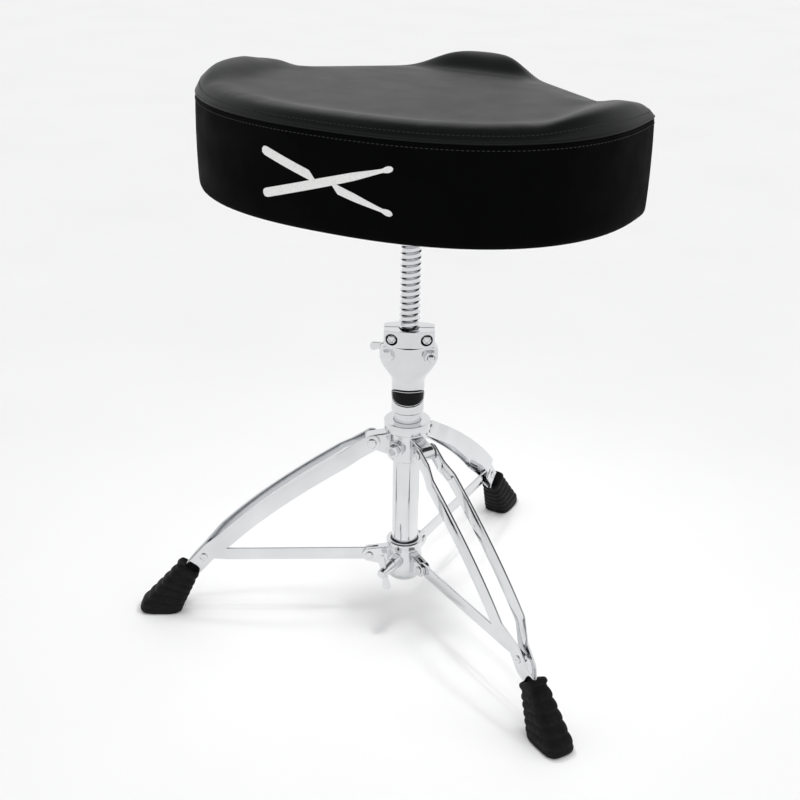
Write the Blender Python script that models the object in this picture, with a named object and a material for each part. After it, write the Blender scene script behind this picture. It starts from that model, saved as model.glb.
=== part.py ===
"""Drum throne: a saddle seat on a threaded rod, over a double-braced folding tripod.

Metres, +Z up.  The seat's nose and one leg point along +Y.  The column stands on an
empty, so that the origin is the middle of the footprint on the floor.  Each leg, strut,
wing and clamp is built in the frame of an empty that stands on its joint's axis.
"""
import math

import bmesh
import bpy
from mathutils import Matrix, Vector

GAP = 0.0003                      # running and resting clearance between pieces

# Column
FOOT_REACH = 0.3277               # column axis to the outermost edge of a foot
SEAT_REAR = 0.1835                # column axis to the back of the seat band
COLUMN_Y = -(FOOT_REACH - SEAT_REAR) / 2
TUBE_R = 0.01585
TUBE_BORE = 0.0143
TUBE_Z = (0.0560, 0.3000)
PLUG_BOTTOM = 0.0480
COLLAR_R = 0.0272
COLLAR_Z = (0.2510, 0.2630)

# Upper hub and the three legs
LEG_AZIMUTHS = (210.0, 330.0, 90.0)
HUB_Z = (0.2140, 0.2507)
HUB_R = 0.0225
LOBE_HALF = 0.0088
LEG_PIVOT = (0.0414, 0.2356)      # radius and height
LEG_PIN_R = 0.0039
STRIP_WIDTH = 0.020
STRIP_THICK = 0.0025
STRIP_AT_HUB = 0.0105             # strip's middle, sideways from the leg's own plane
STRIP_FLARED = 0.0150
STRIP_AT_RIVET = 0.0062
STRIP_AT_FOOT = 0.0016
LEG_RIVET = (0.2460, 0.0775)
LEG_END = (0.2740, 0.0400)        # where the strips stop, inside the rubber foot
POCKET_ROOM = 0.0017              # the strips still converge where they enter the foot
LEG_SLOPES = (31.0, 54.0)         # degrees below level at the hub and at the foot
LEG_BOW = (0.155, 0.078)          # handles of the curve at its two ends
RIVET_R = 0.0026
RIVET_HEAD_R = 0.0048

# Lower bracket and struts
BRACKET_Z = (0.0500, 0.1000)
BRACKET_R = 0.0215
STRUT_PIVOT = (0.0429, 0.0793)
EAR_HALF = 0.0058
EAR_ROUND = 0.0086
STRUT_WIDTH = 0.016
STRUT_THICK = 0.0028
STRUT_PIN_R = 0.0029
STRUT_TIP_R = 0.0058              # the outer end is narrower, to pass the foot as the leg folds
BUSH_R = 0.0034
BUSH_HALF = 0.0029
SIDE_AZIMUTH = 270.0              # hub set bolt, wing bolt and seat lock bolt

# Set bolt and wing bolt
SIDE_BOLT_R = 0.0039
SIDE_HOLE_R = 0.0042
HUB_BOLT_Z = LEG_PIVOT[1] - 0.001
HUB_BOSS_R = (0.0092, 0.0088)     # at its root and at its face
HUB_BOSS_REACH = 0.0300
WING_BOLT_Z = STRUT_PIVOT[1] + 0.0007
BRACKET_BOSS_R = (0.0090, 0.0080)
BRACKET_BOSS_REACH = 0.0350
WING_BOLT_TURN = 78.0             # the wings stand nearly upright at rest
LINING = 0.0022                   # nylon lining and its clearances, tube to bracket
CUT_PAST = 0.01                   # how far a cutter reaches past the piece it cuts

# Height clamp, memory lock and rod
CLAMP_TURN = 27.5                 # the clamp's front faces this far round from -Y
CLAMP_Z = (0.2750, 0.3580)
NECK_R = 0.0190
CLAMP_CORE = 0.0195
CLAMP_EAR = 0.0340
EAR_DEPTH = 0.0105
CLAMP_BOLT = (0.0255, 0.3470)     # sideways and height
CLAMP_BOLT_R = 0.0040
CLAMP_HOLE_R = 0.0043
CLAMP_HEAD = (0.0068, 0.0052)     # half width across flats, and height
CLAMP_POCKET = (0.0155, 0.3400)   # radius and top of the thread insert's pocket
SLIT_HALF = 0.0011
SLIT_BOTTOM = 0.3170
BADGE_HALF_TURN = 75
BADGE_Z = (0.2860, 0.3065)
BADGE_CORNER = 0.0060
BADGE_THICK = 0.0009
LOCK_Z = (0.3585, 0.3785)
LOCK_EAR = 0.0290
LOCK_DEPTH = (0.0120, 0.0188)     # half depth near the ears' ends, and in the middle
LOCK_SEAT = 0.0113                # how deep the bolt heads sit
LOCK_BOLT = (0.0200, 0.3685)
LOCK_BOLT_R = 0.0030
LOCK_HOLE_R = 0.0033
LOCK_RECESS_R = 0.0068
LOCK_SPLIT = 0.0012
ROD_R = 0.0117
ROD_ROOT_R = 0.0103
THREAD_PITCH = 0.0073
THREAD_Z = (0.2400, 0.5050)
ROD_BOTTOM = 0.2130
ROD_TOP = 0.5325
SPIGOT_R = 0.0112
STUB_R = 0.0080
STUB_TOP = THREAD_Z[0] - 0.003

# Seat
SEAM_Z = 0.6380
SEAT_BOTTOM = 0.5370
SEAT_HALF = (0.2470, 0.2135)      # rear curve: half width, and depth behind its widest line
SEAT_WIDEST = 0.0300
REAR_POWER = 2.35
HIP_CORNER = (0.2465, 0.0625)     # corners of the outline before rounding
THIGH_CORNER = (0.1868, 0.0675)
NOSE_HALF = 0.0235
NOSE_TIP = 0.1930
HIP_RISE = 0.0080
NOSE_RISE = 0.0168
COVER = 0.0012
COVER_STEPS = (0.0, 0.004, 0.010, 0.018)
BAND = 0.0015
BOARD_Z = (0.5382, 0.5500)
PLATE_Z = (0.5337, 0.5367)
SOCKET_BOTTOM = 0.5120
SOCKET_R = 0.0175
SCREW_AT = 0.0400
SCREW_R = 0.0030
SCREW_HEAD_R = 0.0058
SCREW_TOP = 0.5445
PLATE_HALF = 0.054
PLATE_CORNER = 0.014

# name: colour, roughness, metallic
FINISHES = {
    "chrome": ((0.82, 0.83, 0.84), 0.08, 1.0),
    "cast_chrome": ((0.80, 0.81, 0.82), 0.14, 1.0),
    "zinc": ((0.55, 0.56, 0.58), 0.30, 1.0),
    "brass": ((0.72, 0.55, 0.28), 0.30, 1.0),
    "black_rubber": ((0.012, 0.012, 0.013), 0.65, 0.0),
    "black_vinyl": ((0.018, 0.019, 0.020), 0.35, 0.0),
    "black_band": ((0.010, 0.010, 0.011), 0.75, 0.0),
    "black_badge": ((0.010, 0.010, 0.010), 0.25, 0.0),
    "dust_cloth": ((0.02, 0.02, 0.02), 0.90, 0.0),
    "foam": ((0.55, 0.52, 0.40), 0.90, 0.0),
    "plywood": ((0.55, 0.38, 0.22), 0.70, 0.0),
    "nylon": ((0.05, 0.05, 0.05), 0.50, 0.0),
}


# ---------------------------------------------------------------- scene helpers

def clear_scene():
    for obj in list(bpy.data.objects):
        bpy.data.objects.remove(obj, do_unlink=True)


def finish(name):
    """The Principled material of that name, made on first use."""
    if name in bpy.data.materials:
        return bpy.data.materials[name]
    colour, roughness, metallic = FINISHES[name]
    made = bpy.data.materials.new(name)
    made.use_nodes = True
    shader = made.node_tree.nodes["Principled BSDF"]
    shader.inputs["Base Color"].default_value = (*colour, 1.0)
    shader.inputs["Roughness"].default_value = roughness
    shader.inputs["Metallic"].default_value = metallic
    return made


def empty(name, parent, location=(0, 0, 0), turn=0.0):
    """A guide that stands on a joint's axis, turned about Z by degrees."""
    guide = bpy.data.objects.new(name, None)
    bpy.context.collection.objects.link(guide)
    guide.parent = parent
    guide.location = location
    guide.rotation_euler = (0, 0, math.radians(turn))
    guide.empty_display_size = 0.02
    return guide


def add(name, bm, finish_name, parent, location=(0, 0, 0), rotation=(0, 0, 0)):
    """Put a bmesh in the scene as a named object; rotation is in degrees."""
    bmesh.ops.recalc_face_normals(bm, faces=bm.faces)
    mesh = bpy.data.meshes.new(name)
    bm.to_mesh(mesh)
    bm.free()
    mesh.shade_smooth()
    mesh.set_sharp_from_angle(angle=math.radians(32))
    mesh.materials.append(finish(finish_name))
    obj = bpy.data.objects.new(name, mesh)
    bpy.context.collection.objects.link(obj)
    obj.parent = parent
    obj.location = location
    obj.rotation_euler = [math.radians(angle) for angle in rotation]
    return obj


def helper(name, bm, parent, location=(0, 0, 0), rotation=(0, 0, 0)):
    """A shape that only joins or cuts another one."""
    obj = add(name, bm, "zinc", parent, location, rotation)
    obj.hide_render = True
    obj.display_type = "WIRE"
    return obj


def combine(obj, other, operation):
    step = obj.modifiers.new(other.name, "BOOLEAN")
    step.operation = operation
    step.solver = "EXACT"
    step.object = other


# ---------------------------------------------------------------- shape helpers

def turned(profile, count=24, closed=False):
    """Turn (radius, height[, sides]) about Z.  Sides gives a hexagon or square ring."""
    bm = bmesh.new()
    rings = [ring_of(bm, entry, count) for entry in profile]
    pairs = list(zip(rings, rings[1:]))
    if closed:
        pairs.append((rings[-1], rings[0]))
    for lower, upper in pairs:
        for i in range(count):
            j = (i + 1) % count
            corners = [lower[i % len(lower)], lower[j % len(lower)],
                       upper[j % len(upper)], upper[i % len(upper)]]
            unique = list(dict.fromkeys(corners))
            if len(unique) > 2:
                bm.faces.new(unique)
    return bm


def ring_of(bm, entry, count):
    """One ring of a turned shape: a circle, a polygon across flats, or a point."""
    radius, height = entry[:2]
    sides = entry[2] if len(entry) > 2 else 0
    if radius == 0:
        return [bm.verts.new((0, 0, height))]
    ring = []
    for i in range(count):
        angle = math.tau * i / count
        reach = radius
        if sides:
            sector = math.tau / sides
            reach = radius / math.cos(angle % sector - sector / 2)
        ring.append(bm.verts.new((reach * math.cos(angle), reach * math.sin(angle), height)))
    return ring


def cylinder(radius, low, high, count):
    return turned([(0, low), (radius, low), (radius, high), (0, high)], count)


def lofted(rings):
    """A closed skin over rings of points, with both ends capped."""
    bm = bmesh.new()
    loops = [[bm.verts.new(point) for point in ring] for ring in rings]
    for lower, upper in zip(loops, loops[1:]):
        for i in range(len(lower)):
            j = (i + 1) % len(lower)
            bm.faces.new((lower[i], lower[j], upper[j], upper[i]))
    bm.faces.new(loops[0][::-1])
    bm.faces.new(loops[-1])
    return bm


def prism(outline, low, high):
    """A flat outline (x, y) raised from one height to another."""
    return lofted([[(x, y, z) for x, y in outline] for z in (low, high)])


def plate(outline, half):
    """An upright outline (x, z) with a thickness of twice half along y."""
    return lofted([[(x, y, z) for x, z in outline] for y in (-half, half)])


def merged(*shapes):
    """Several bmeshes in one, still as separate shells."""
    whole = bmesh.new()
    for shape in shapes:
        scratch = bpy.data.meshes.new("scratch")
        shape.to_mesh(scratch)
        shape.free()
        whole.from_mesh(scratch)
        bpy.data.meshes.remove(scratch)
    return whole


def moved(bm, turn=0.0, about="Z", offset=(0, 0, 0)):
    """The same bmesh, turned by degrees about an axis and then moved."""
    matrix = Matrix.Translation(offset) @ Matrix.Rotation(math.radians(turn), 4, about)
    bmesh.ops.transform(bm, matrix=matrix, verts=bm.verts)
    return bm


def rounded(corners, step=15.0):
    """A closed outline with its corners (x, y, radius) rounded by arcs."""
    points = []
    for i, (x, y, radius) in enumerate(corners):
        corner = Vector((x, y))
        if radius == 0:
            points.append((x, y))
            continue
        before = (Vector(corners[i - 1][:2]) - corner).normalized()
        after = (Vector(corners[(i + 1) % len(corners)][:2]) - corner).normalized()
        half = before.angle(after) / 2
        centre = corner + (before + after).normalized() * (radius / math.sin(half))
        start = corner + before * (radius / math.tan(half)) - centre
        end = corner + after * (radius / math.tan(half)) - centre
        first = math.atan2(start.y, start.x)
        sweep = (math.atan2(end.y, end.x) - first + math.pi) % math.tau - math.pi
        count = max(1, math.ceil(abs(math.degrees(sweep)) / step))
        for k in range(count + 1):
            angle = first + sweep * k / count
            points.append((centre.x + radius * math.cos(angle), centre.y + radius * math.sin(angle)))
    return points


def arc(radius, start, end, count, centre=(0, 0)):
    """Points (x, y) of an arc between two angles in degrees, both ends included."""
    angles = [math.radians(start + (end - start) * i / count) for i in range(count + 1)]
    return [(centre[0] + radius * math.cos(a), centre[1] + radius * math.sin(a)) for a in angles]


def smoothstep(value):
    value = min(1.0, max(0.0, value))
    return value * value * (3 - 2 * value)


def pin(length, radius, head_r, head_high, count=12):
    """A pin along Z with a domed head at both ends; length is between the heads."""
    top = length / 2
    half = [(radius, top), (head_r, top), (head_r, top + head_high * 0.4),
            (head_r * 0.7, top + head_high * 0.85), (0, top + head_high)]
    mirrored = [(r, -z) for r, z in reversed(half)]
    return turned(mirrored + half, count)


def bolt(head_flat, head_high, shank_r, shank_long, socket_r=0.0, count=12):
    """A hexagon bolt: head above z = 0 and shank below, with an optional key socket."""
    profile = [(0, -shank_long), (shank_r * 0.8, -shank_long), (shank_r, -shank_long + 0.001),
               (shank_r, 0), (head_flat, 0, 6), (head_flat, head_high - 0.0008, 6),
               (head_flat * 0.94, head_high)]
    if socket_r:
        profile += [(socket_r, head_high), (socket_r, head_high * 0.35)]
        return turned(profile + [(0, head_high * 0.35)], count)
    return turned(profile + [(0, head_high)], count)


def wing(span, root, thick):
    """One pair of wings in the x-z plane, around a hub on the y axis at the origin."""
    tip = span / 2
    corners = [(-tip, 0.0055, 0.004), (-tip, -0.0055, 0.004), (-root, -0.0030, 0.003),
               (root, -0.0030, 0.003), (tip, -0.0055, 0.004), (tip, 0.0055, 0.004),
               (root, 0.0030, 0.003), (-root, 0.0030, 0.003)]
    return plate(rounded(corners, 30), thick / 2)


# ---------------------------------------------------------------- column

def build_column(axis):
    low, high = TUBE_Z
    tube = [(TUBE_BORE, low), (TUBE_R, low), (TUBE_R, high), (TUBE_BORE, high)]
    add("centre_tube", turned(tube, 32, closed=True), "chrome", axis)

    shank = TUBE_BORE - GAP
    plug = [(0, PLUG_BOTTOM), (0.009, PLUG_BOTTOM + 0.0010), (TUBE_R - 0.002, PLUG_BOTTOM + 0.0040),
            (TUBE_R, low - GAP), (shank, low - GAP), (shank, low + 0.016), (0, low + 0.016)]
    add("tube_end_plug", turned(plug), "nylon", axis)

    bore = TUBE_R + GAP
    base, top = COLLAR_Z
    collar = [(bore, base), (COLLAR_R - 0.001, base), (COLLAR_R, base + 0.001),
              (COLLAR_R, top - 0.001), (COLLAR_R - 0.001, top), (bore, top)]
    add("top_collar", turned(collar, 28, closed=True), "cast_chrome", axis)


def lobe_outline(pivot, root, base, top, nose):
    """Side outline (x, z) of a lobe that ends in a round nose about a pivot."""
    radius, height = pivot
    return [(root, base)] + arc(nose, -90, 90, 8, (radius, height)) + [(root, top)]


def build_hub(axis):
    """Upper bracket: a sleeve with a solid lobe for each leg and a boss for its set bolt."""
    low, high = HUB_Z
    sleeve = [(0, low), (HUB_R - 0.0015, low), (HUB_R, low + 0.0015), (HUB_R, high - 0.0015),
              (HUB_R - 0.0015, high), (0, high)]
    hub = add("hub_bracket", turned(sleeve, 32), "cast_chrome", axis)
    outline = lobe_outline(LEG_PIVOT, 0.018, low + 0.0015, high - 0.0015, 0.0088)
    lobes = [moved(plate(outline, LOBE_HALF), turn) for turn in LEG_AZIMUTHS]
    boss = side_boss(HUB_BOSS_R, 0.019, HUB_BOSS_REACH, HUB_BOLT_Z)
    combine(hub, helper("hub_lobes", merged(*lobes, boss), axis), "UNION")

    bore = cylinder(TUBE_R + GAP, low - CUT_PAST, high + CUT_PAST, 32)
    combine(hub, helper("hub_bore", bore, axis), "DIFFERENCE")
    bolt_hole = side_hole(SIDE_HOLE_R, 0.0162, HUB_BOSS_REACH + 0.004, HUB_BOLT_Z)
    combine(hub, helper("hub_bolt_hole", bolt_hole, axis), "DIFFERENCE")
    holes = [moved(cross_hole(LEG_PIN_R + GAP, 0.03, LEG_PIVOT), turn) for turn in LEG_AZIMUTHS]
    combine(hub, helper("hub_pin_holes", merged(*holes), axis), "DIFFERENCE")

    reach = HUB_BOSS_REACH + GAP
    add("hub_set_bolt", bolt(0.0072, 0.0070, SIDE_BOLT_R, reach - TUBE_R - GAP, 0.0042), "chrome", axis,
        (0, -reach, HUB_BOLT_Z), (90, 0, 0))
    for number, turn in enumerate(LEG_AZIMUTHS, 1):
        guide = empty(f"leg_{number}_pin_guide", axis, turn=turn)
        length = 2 * (STRIP_AT_HUB + STRIP_THICK / 2 + GAP)
        add(f"leg_{number}_pivot_pin", pin(length, LEG_PIN_R, 0.0056, 0.0028), "chrome", guide,
            (LEG_PIVOT[0], 0, LEG_PIVOT[1]), (90, 0, 0))


def along_side(shape, height):
    """A shape turned about Z, laid along the side azimuth at a height."""
    moved(shape, 90, "Y")
    return moved(shape, SIDE_AZIMUTH, "Z", (0, 0, height))


def side_boss(radii, start, end, height):
    """A slightly tapered boss along the side azimuth."""
    root, face = radii
    return along_side(turned([(0, start), (root, start), (face, end), (0, end)], 16), height)


def side_hole(radius, start, end, height):
    """A round cutter along the side azimuth, between two radii from the axis."""
    return along_side(cylinder(radius, start - 0.004, end, 16), height)


def cross_hole(radius, half_long, at, count=16):
    """A round cutter along y through the point (x, z)."""
    return moved(cylinder(radius, -half_long, half_long, count), 90, "X", (at[0], 0, at[1]))


# ---------------------------------------------------------------- legs

def leg_curve(fraction):
    """Point (x, z) and slope of a strip's middle line, from hub pivot to foot."""
    steep = [math.radians(angle) for angle in LEG_SLOPES]
    start = Vector(LEG_PIVOT)
    end = Vector(LEG_END)
    first = start + LEG_BOW[0] * Vector((math.cos(steep[0]), -math.sin(steep[0])))
    second = end - LEG_BOW[1] * Vector((math.cos(steep[1]), -math.sin(steep[1])))
    rest = 1 - fraction
    point = (rest**3 * start + 3 * rest**2 * fraction * first
             + 3 * rest * fraction**2 * second + fraction**3 * end)
    slope = (rest**2 * (first - start) + 2 * rest * fraction * (second - first)
             + fraction**2 * (end - second)).normalized()
    return point, slope


def strip_offset(point):
    """How far a strip's middle stands from the leg's own plane, at a point on it."""
    out = (point - Vector(LEG_PIVOT)).length
    to_rivet = (Vector(LEG_RIVET) - point).length
    if point.x > LEG_RIVET[0]:
        return STRIP_AT_RIVET + (STRIP_AT_FOOT - STRIP_AT_RIVET) * smoothstep((to_rivet - 0.010) / 0.020)
    flare = STRIP_AT_HUB + (STRIP_FLARED - STRIP_AT_HUB) * smoothstep((out - 0.016) / 0.030)
    return STRIP_AT_RIVET + (flare - STRIP_AT_RIVET) * smoothstep((to_rivet - 0.009) / 0.030)


def strip_rings(side):
    """Cross-sections of a bent strip; side is +1 or -1."""
    fractions = [0.0, 0.04, 0.08, 0.13, 0.18, 0.25, 0.35, 0.45, 0.55, 0.65, 0.74, 0.79, 0.84,
                 0.89, 0.94, 1.0]
    stations = [(*leg_curve(0), STRIP_WIDTH / 2 * math.cos(math.radians(angle)),
                 -STRIP_WIDTH / 2 * math.sin(math.radians(angle))) for angle in (75, 50, 25)]
    stations += [(*leg_curve(fraction), STRIP_WIDTH / 2, 0.0) for fraction in fractions]
    rings = []
    for point, slope, half, back in stations:
        across = Vector((-slope.y, slope.x)) * half
        middle = point + slope * back
        offset = strip_offset(point)
        inner, outer = side * (offset - STRIP_THICK / 2), side * (offset + STRIP_THICK / 2)
        low, high = middle - across, middle + across
        rings.append([(low.x, inner, low.y), (low.x, outer, low.y),
                      (high.x, outer, high.y), (high.x, inner, high.y)])
    return rings


def foot_sections():
    """Sections of a rubber foot: inner and outer point (x, z), half width, from top to sole."""
    collar = [((0.2545, 0.0530), (0.2750, 0.0676), 0.0112), ((0.2535, 0.0500), (0.2770, 0.0660), 0.0128),
              ((0.2550, 0.0465), (0.2800, 0.0645), 0.0128), ((0.2575, 0.0445), (0.2790, 0.0605), 0.0115)]
    steps = 4
    top_in, top_out = Vector((0.2585, 0.0420)), Vector((0.2815, 0.0585))
    low_in, low_out = Vector((0.2760, 0.0045)), Vector((0.3270, 0.0080))
    body = []
    for k in range(steps):
        for share, proud in ((k / steps, 0.0), ((k + 0.85) / steps, 0.0012)):
            inner = top_in.lerp(low_in, share) - Vector((proud, 0))
            outer = top_out.lerp(low_out, share) + Vector((proud, proud * 0.5))
            body.append((tuple(inner), tuple(outer), 0.0120 + 0.0055 * share + proud))
    sole = [((0.2765, 0.0030), (0.3280, 0.0050), 0.0180), ((0.2785, 0.0), (0.3255, 0.0), 0.0165)]
    return collar + body + sole


def foot_mesh():
    """The foot as a loft of rounded rectangles, with the two strips' pocket left to cut."""
    rings = []
    for inner, outer, half in foot_sections():
        ring = []
        for i in range(16):
            angle = math.tau * (i + 0.5) / 16
            along = math.copysign(abs(math.cos(angle)) ** 0.55, math.cos(angle)) / 2 + 0.5
            side = math.copysign(abs(math.sin(angle)) ** 0.55, math.sin(angle)) * half
            ring.append((inner[0] + (outer[0] - inner[0]) * along, side,
                         inner[1] + (outer[1] - inner[1]) * along))
        rings.append(ring)
    return lofted(rings)


def foot_pocket():
    """The slot that the two strips fill, along the end of the leg."""
    (end, slope), (start, _) = leg_curve(1.0), leg_curve(0.80)
    across = Vector((-slope.y, slope.x))
    half = STRIP_WIDTH / 2 + 2 * GAP
    side = STRIP_AT_FOOT + STRIP_THICK / 2 + POCKET_ROOM
    tail = end + slope * 0.001
    head = end - slope * (end - start).length
    corners = [tail + across * half, tail - across * half, head - across * half, head + across * half]
    return plate([tuple(corner) for corner in corners], side)


def build_legs(axis):
    for number, turn in enumerate(LEG_AZIMUTHS, 1):
        guide = empty(f"leg_{number}_pivot", axis, (0, 0, 0), turn)
        hinge = empty(f"leg_{number}_hinge", guide, (LEG_PIVOT[0], 0, LEG_PIVOT[1]))
        back = (-LEG_PIVOT[0], 0, -LEG_PIVOT[1])
        pivot_hole = helper(f"leg_{number}_pivot_hole", cross_hole(LEG_PIN_R + GAP, 0.03, LEG_PIVOT),
                            hinge, back)
        rivet_hole = helper(f"leg_{number}_rivet_hole", cross_hole(RIVET_R + GAP, 0.03, LEG_RIVET, 12),
                            hinge, back)
        for side, label in ((1, "left"), (-1, "right")):
            strip = add(f"leg_{number}_strip_{label}", lofted(strip_rings(side)), "chrome", hinge, back)
            combine(strip, pivot_hole, "DIFFERENCE")
            combine(strip, rivet_hole, "DIFFERENCE")
            inner = STRIP_AT_RIVET - STRIP_THICK / 2
            outer = STRIP_AT_RIVET + STRIP_THICK / 2 + GAP
            rivet = turned([(0, inner), (RIVET_R, inner), (RIVET_R, outer), (RIVET_HEAD_R, outer),
                            (RIVET_HEAD_R, outer + 0.0008), (RIVET_HEAD_R * 0.7, outer + 0.0019),
                            (0, outer + 0.0024)], 12)
            add(f"leg_{number}_rivet_{label}", rivet, "chrome", hinge,
                (LEG_RIVET[0] - LEG_PIVOT[0], 0, LEG_RIVET[1] - LEG_PIVOT[1]), (-90 * side, 0, 0))
        foot = add(f"leg_{number}_foot", foot_mesh(), "black_rubber", hinge, back)
        combine(foot, helper(f"leg_{number}_foot_pocket", foot_pocket(), hinge, back), "DIFFERENCE")


# ---------------------------------------------------------------- lower bracket and struts

def build_bracket(axis):
    """Lower bracket: a sliding sleeve with a forked ear for each strut and a wing bolt boss."""
    low, high = BRACKET_Z
    sleeve = [(0, low), (BRACKET_R - 0.004, low), (BRACKET_R, low + 0.003),
              (BRACKET_R + 0.001, low + 0.014), (BRACKET_R, high - 0.004), (BRACKET_R - 0.0010, high),
              (0, high)]
    bracket = add("lower_bracket", turned(sleeve, 32), "cast_chrome", axis)
    outline = lobe_outline(STRUT_PIVOT, 0.0165, low + 0.012, high - 0.003, EAR_ROUND)
    ears = [moved(plate(outline, EAR_HALF), turn) for turn in LEG_AZIMUTHS]
    boss = side_boss(BRACKET_BOSS_R, 0.0175, BRACKET_BOSS_REACH, WING_BOLT_Z)
    combine(bracket, helper("bracket_ears", merged(*ears, boss), axis), "UNION")

    bush_r = TUBE_R + LINING
    bore = cylinder(bush_r, low - CUT_PAST, high + CUT_PAST, 32)
    combine(bracket, helper("bracket_bore", bore, axis), "DIFFERENCE")
    slot_in, slot_out = STRUT_PIVOT[0] - 0.0105, 0.06
    slot = [(slot_in, low - CUT_PAST), (slot_out, low - CUT_PAST), (slot_out, high + CUT_PAST),
            (slot_in, high + CUT_PAST)]
    slots = [moved(plate(slot, STRUT_THICK / 2 + GAP), turn) for turn in LEG_AZIMUTHS]
    combine(bracket, helper("bracket_slots", merged(*slots), axis), "DIFFERENCE")
    holes = [moved(cross_hole(STRUT_PIN_R + GAP, 0.02, STRUT_PIVOT, 12), turn) for turn in LEG_AZIMUTHS]
    combine(bracket, helper("bracket_pin_holes", merged(*holes), axis), "DIFFERENCE")
    hole = side_hole(SIDE_HOLE_R, 0.0175, BRACKET_BOSS_REACH + 0.005, WING_BOLT_Z)
    wing_hole = helper("bracket_bolt_hole", hole, axis)
    combine(bracket, wing_hole, "DIFFERENCE")

    inner, outer = TUBE_R + GAP, bush_r - GAP
    bush = [(inner, low + 0.004), (outer, low + 0.004), (outer, high + 0.0005),
            (outer - 0.0005, high + 0.001), (inner, high + 0.001)]
    lining = add("lower_bracket_bush", turned(bush, 24, closed=True), "nylon", axis)
    combine(lining, wing_hole, "DIFFERENCE")
    build_wing_bolt(axis, inner)


def build_wing_bolt(axis, inner):
    face = BRACKET_BOSS_REACH + GAP - inner
    shank = [(0, 0), (0.0032, 0), (SIDE_BOLT_R, 0.001), (SIDE_BOLT_R, face), (0.0078, face),
             (0.0064, face + 0.0140), (0.0050, face + 0.0240), (0, face + 0.0250)]
    turn = empty("wing_bolt_axis", axis, (0, -inner - GAP, WING_BOLT_Z))
    body = add("wing_bolt", turned(shank, 16), "cast_chrome", turn, (0, 0, 0), (90, 0, 0))
    wings = moved(wing(0.046, 0.006, 0.0034), WING_BOLT_TURN, "Y", (0, -(face + 0.0165), 0))
    combine(body, helper("wing_bolt_wings", wings, turn), "UNION")


def build_struts(axis):
    """Each strut turns on its pin in the bracket; its outer bush floats between the leg strips."""
    length = LEG_RIVET[0] - STRUT_PIVOT[0]
    tilt = math.degrees(math.atan2(STRUT_PIVOT[1] - LEG_RIVET[1], length))
    span = math.hypot(length, STRUT_PIVOT[1] - LEG_RIVET[1])
    half, tip = STRUT_WIDTH / 2, STRUT_TIP_R
    outline = arc(half, 90, 270, 8) + [(span - 0.030, -half)] + arc(tip, -85, 85, 8, (span, 0))
    outline.append((span - 0.030, half))
    for number, turn in enumerate(LEG_AZIMUTHS, 1):
        guide = empty(f"strut_{number}_guide", axis, turn=turn)
        hinge = empty(f"strut_{number}_hinge", guide, (STRUT_PIVOT[0], 0, STRUT_PIVOT[1]))
        strut = add(f"strut_{number}", plate(outline, STRUT_THICK / 2), "chrome", hinge, (0, 0, 0),
                    (0, tilt, 0))
        inner_hole = cross_hole(STRUT_PIN_R + GAP, 0.01, (0, 0), 12)
        outer_hole = cross_hole(BUSH_R + GAP, 0.01, (span, 0), 12)
        cutter = helper(f"strut_{number}_holes", merged(inner_hole, outer_hole), hinge, (0, 0, 0),
                        (0, tilt, 0))
        combine(strut, cutter, "DIFFERENCE")
        add(f"strut_{number}_bush", cylinder(BUSH_R, -BUSH_HALF, BUSH_HALF, 12), "zinc", hinge,
            (length, 0, LEG_RIVET[1] - STRUT_PIVOT[1]), (90, 0, 0))
        add(f"strut_{number}_pin", pin(2 * (EAR_HALF + GAP), STRUT_PIN_R, 0.0047, 0.0024), "chrome",
            guide, (STRUT_PIVOT[0], 0, STRUT_PIVOT[1]), (90, 0, 0))


# ---------------------------------------------------------------- height clamp and memory lock

def clamp_angles():
    """Angles of a section's points: finest where the ears' corners and roots are."""
    corner = math.atan2(EAR_DEPTH, CLAMP_EAR)
    root = math.asin(EAR_DEPTH / CLAMP_CORE)
    quarter = [0, corner / 2, corner, root] + [root + (math.pi / 2 - root) * k / 4 for k in (1, 2, 3, 4)]
    half = quarter + [math.pi - angle for angle in quarter[-2::-1]]
    return half + [math.pi + angle for angle in half[1:-1]]


def clamp_ring(width, height):
    """A section of the clamp casting: round, with an ear each side once it is wide enough."""
    ring = []
    core = min(width, CLAMP_CORE)
    for angle in clamp_angles():
        across, deep = abs(math.cos(angle)), abs(math.sin(angle))
        ear = min(width / max(across, 1e-6), EAR_DEPTH / max(deep, 1e-6))
        reach = max(core, ear) if width > core else width
        ring.append((reach * math.cos(angle), reach * math.sin(angle), height))
    return ring


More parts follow.
